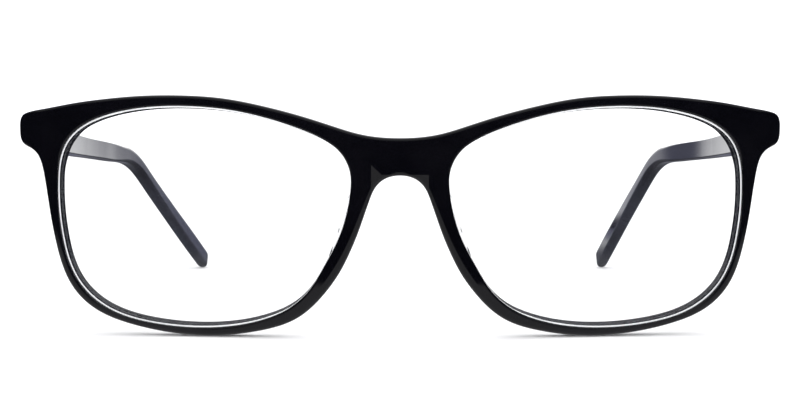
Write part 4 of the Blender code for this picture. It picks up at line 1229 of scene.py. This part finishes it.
def table_material():
    material, tree, shader = new_material("pale_table")
    coords = tree.add("NewGeometry").outputs["Position"]
    grain = tree.noise(coords, scale=300.0)
    tree.feed(shader, {
        "Base Color": tree.mix(grain, off=(0.86, 0.86, 0.86), on=(0.90, 0.90, 0.90)),
        "Roughness": 0.6,
        "Specular IOR Level": 0.25})
    split = tree.separate(coords)
    y = split["Y"]

    # The tones that reflections pick up.
    near = tree.ramp(y, span=(FRONT_Y - TABLE_SEEN - 0.002, FRONT_Y - TABLE_SEEN + 0.002))
    card = tree.add("Emission")
    middle = tree.ramp(y, span=(0.14, 0.32))
    far = tree.ramp(y, span=(0.7, 1.5))
    tone = tree.mix(near, off=BLACK_CARD, on=TABLE_WHITE)
    sideways = angle_aside(tree, split)
    backdrop = tree.mix(tree.ramp(sideways, span=GRADIENT), off=BRIGHT, on=DIM)
    behind = tree.ramp(y, span=(FRONT_Y + 0.03, FRONT_Y + 0.12))
    tone = tree.mix(behind, off=tone, on=TABLE_BEHIND)
    backlit = tree.mix(tree.ramp(sideways, span=(0.10, 0.22)), off=TABLE_BACKLIT, on=DIM)
    tone = tree.mix(middle, off=tone, on=backlit)
    beside = tree.ramp(tree.maths("ABSOLUTE", split["X"]),
                       span=(TABLE_WIDE, TABLE_WIDE + 0.05))
    tone = tree.mix(beside, off=tone, on=TABLE_ASIDE)
    tree.feed(card, {"Color": tree.mix(far, off=tone, on=backdrop)})
    mirrored, ghost = ray_masks(tree)
    both = tree.mix_shader(mirrored, off=shader.outputs[0], on=card.outputs[0])

    # A lens's own inner reflection shows the black card in front, not the table.
    ahead = tree.ramp(y, span=(FRONT_Y - 0.07, FRONT_Y - 0.03), to=(1.0, 0.0))
    black = tree.feed(tree.add("Emission"), {"Color": BLACK_CARD})
    ended = tree.mix_shader(tree.maths("MULTIPLY", ghost, ahead), off=both,
                            on=black.outputs[0])
    tree.feed(tree.nodes["Material Output"], {"Surface": ended})
    return material


def build_floor():
    mesh = bpy.data.meshes.new("floor")
    mesh.from_pydata([(-3, -3, 0), (3, -3, 0), (3, 9, 0), (-3, 9, 0)], [], [(0, 1, 2, 3)])
    floor = bpy.data.objects.new("floor", mesh)
    floor.location.z = -0.00002
    bpy.context.scene.collection.objects.link(floor)
    mesh.materials.append(table_material())


def build_world():
    """A soft white studio: a broad white background, and black card on the
    camera's side, which is what keeps the front face black."""
    world = bpy.data.worlds.new("studio")
    bpy.context.scene.world = world
    tree = Tree(world)
    split = tree.separate(tree.add("TexCoord").outputs["Generated"])
    aside = angle_aside(tree, split)
    seen = tree.mix(tree.ramp(aside, span=GRADIENT), off=BRIGHT, on=DIM)
    seen = tree.mix(tree.ramp(aside, span=(0.95, 1.4)), off=seen, on=BLACK_CARD)
    seen = tree.mix(tree.ramp(split["Z"], span=(0.55, 0.9)), off=seen, on=OVERHEAD)
    mirrored, ghost = ray_masks(tree)
    ghost = tree.maths("MULTIPLY", ghost, tree.ramp(aside, span=(1.25, 1.6)))
    tone = tree.mix(mirrored, off=EVEN_WHITE, on=seen)
    tone = tree.mix(ghost, off=tone, on=BLACK_CARD)
    tree.feed(tree.nodes["Background"], {"Color": tone, "Strength": 1.0})


def build_lamp():
    lamp = bpy.data.lights.new("soft_top", "AREA")
    lamp.shape = "RECTANGLE"
    lamp.size, lamp.size_y = 0.9, 0.6
    lamp.energy = 1.5
    lamp_obj = bpy.data.objects.new("soft_top", lamp)
    lamp_obj.location = (0.0, 0.35, 0.9)
    lamp_obj.rotation_euler = (math.radians(-20), 0, 0)
    bpy.context.scene.collection.objects.link(lamp_obj)


def build_camera():
    camera = bpy.data.cameras.new("photo_view")
    camera.sensor_width, camera.lens = 36.0, 62.5
    camera.shift_y = -0.0765
    camera.clip_start, camera.clip_end = 0.01, 50.0
    camera_obj = bpy.data.objects.new("photo_view", camera)
    camera_obj.location = (0.0, FRONT_Y - CAMERA_DISTANCE, CAMERA_HEIGHT)
    camera_obj.rotation_euler = (math.radians(90), 0, 0)
    bpy.context.scene.collection.objects.link(camera_obj)
    bpy.context.scene.camera = camera_obj


build_floor()
build_world()
build_lamp()
build_camera()
bpy.context.scene.view_settings.view_transform = "Standard"
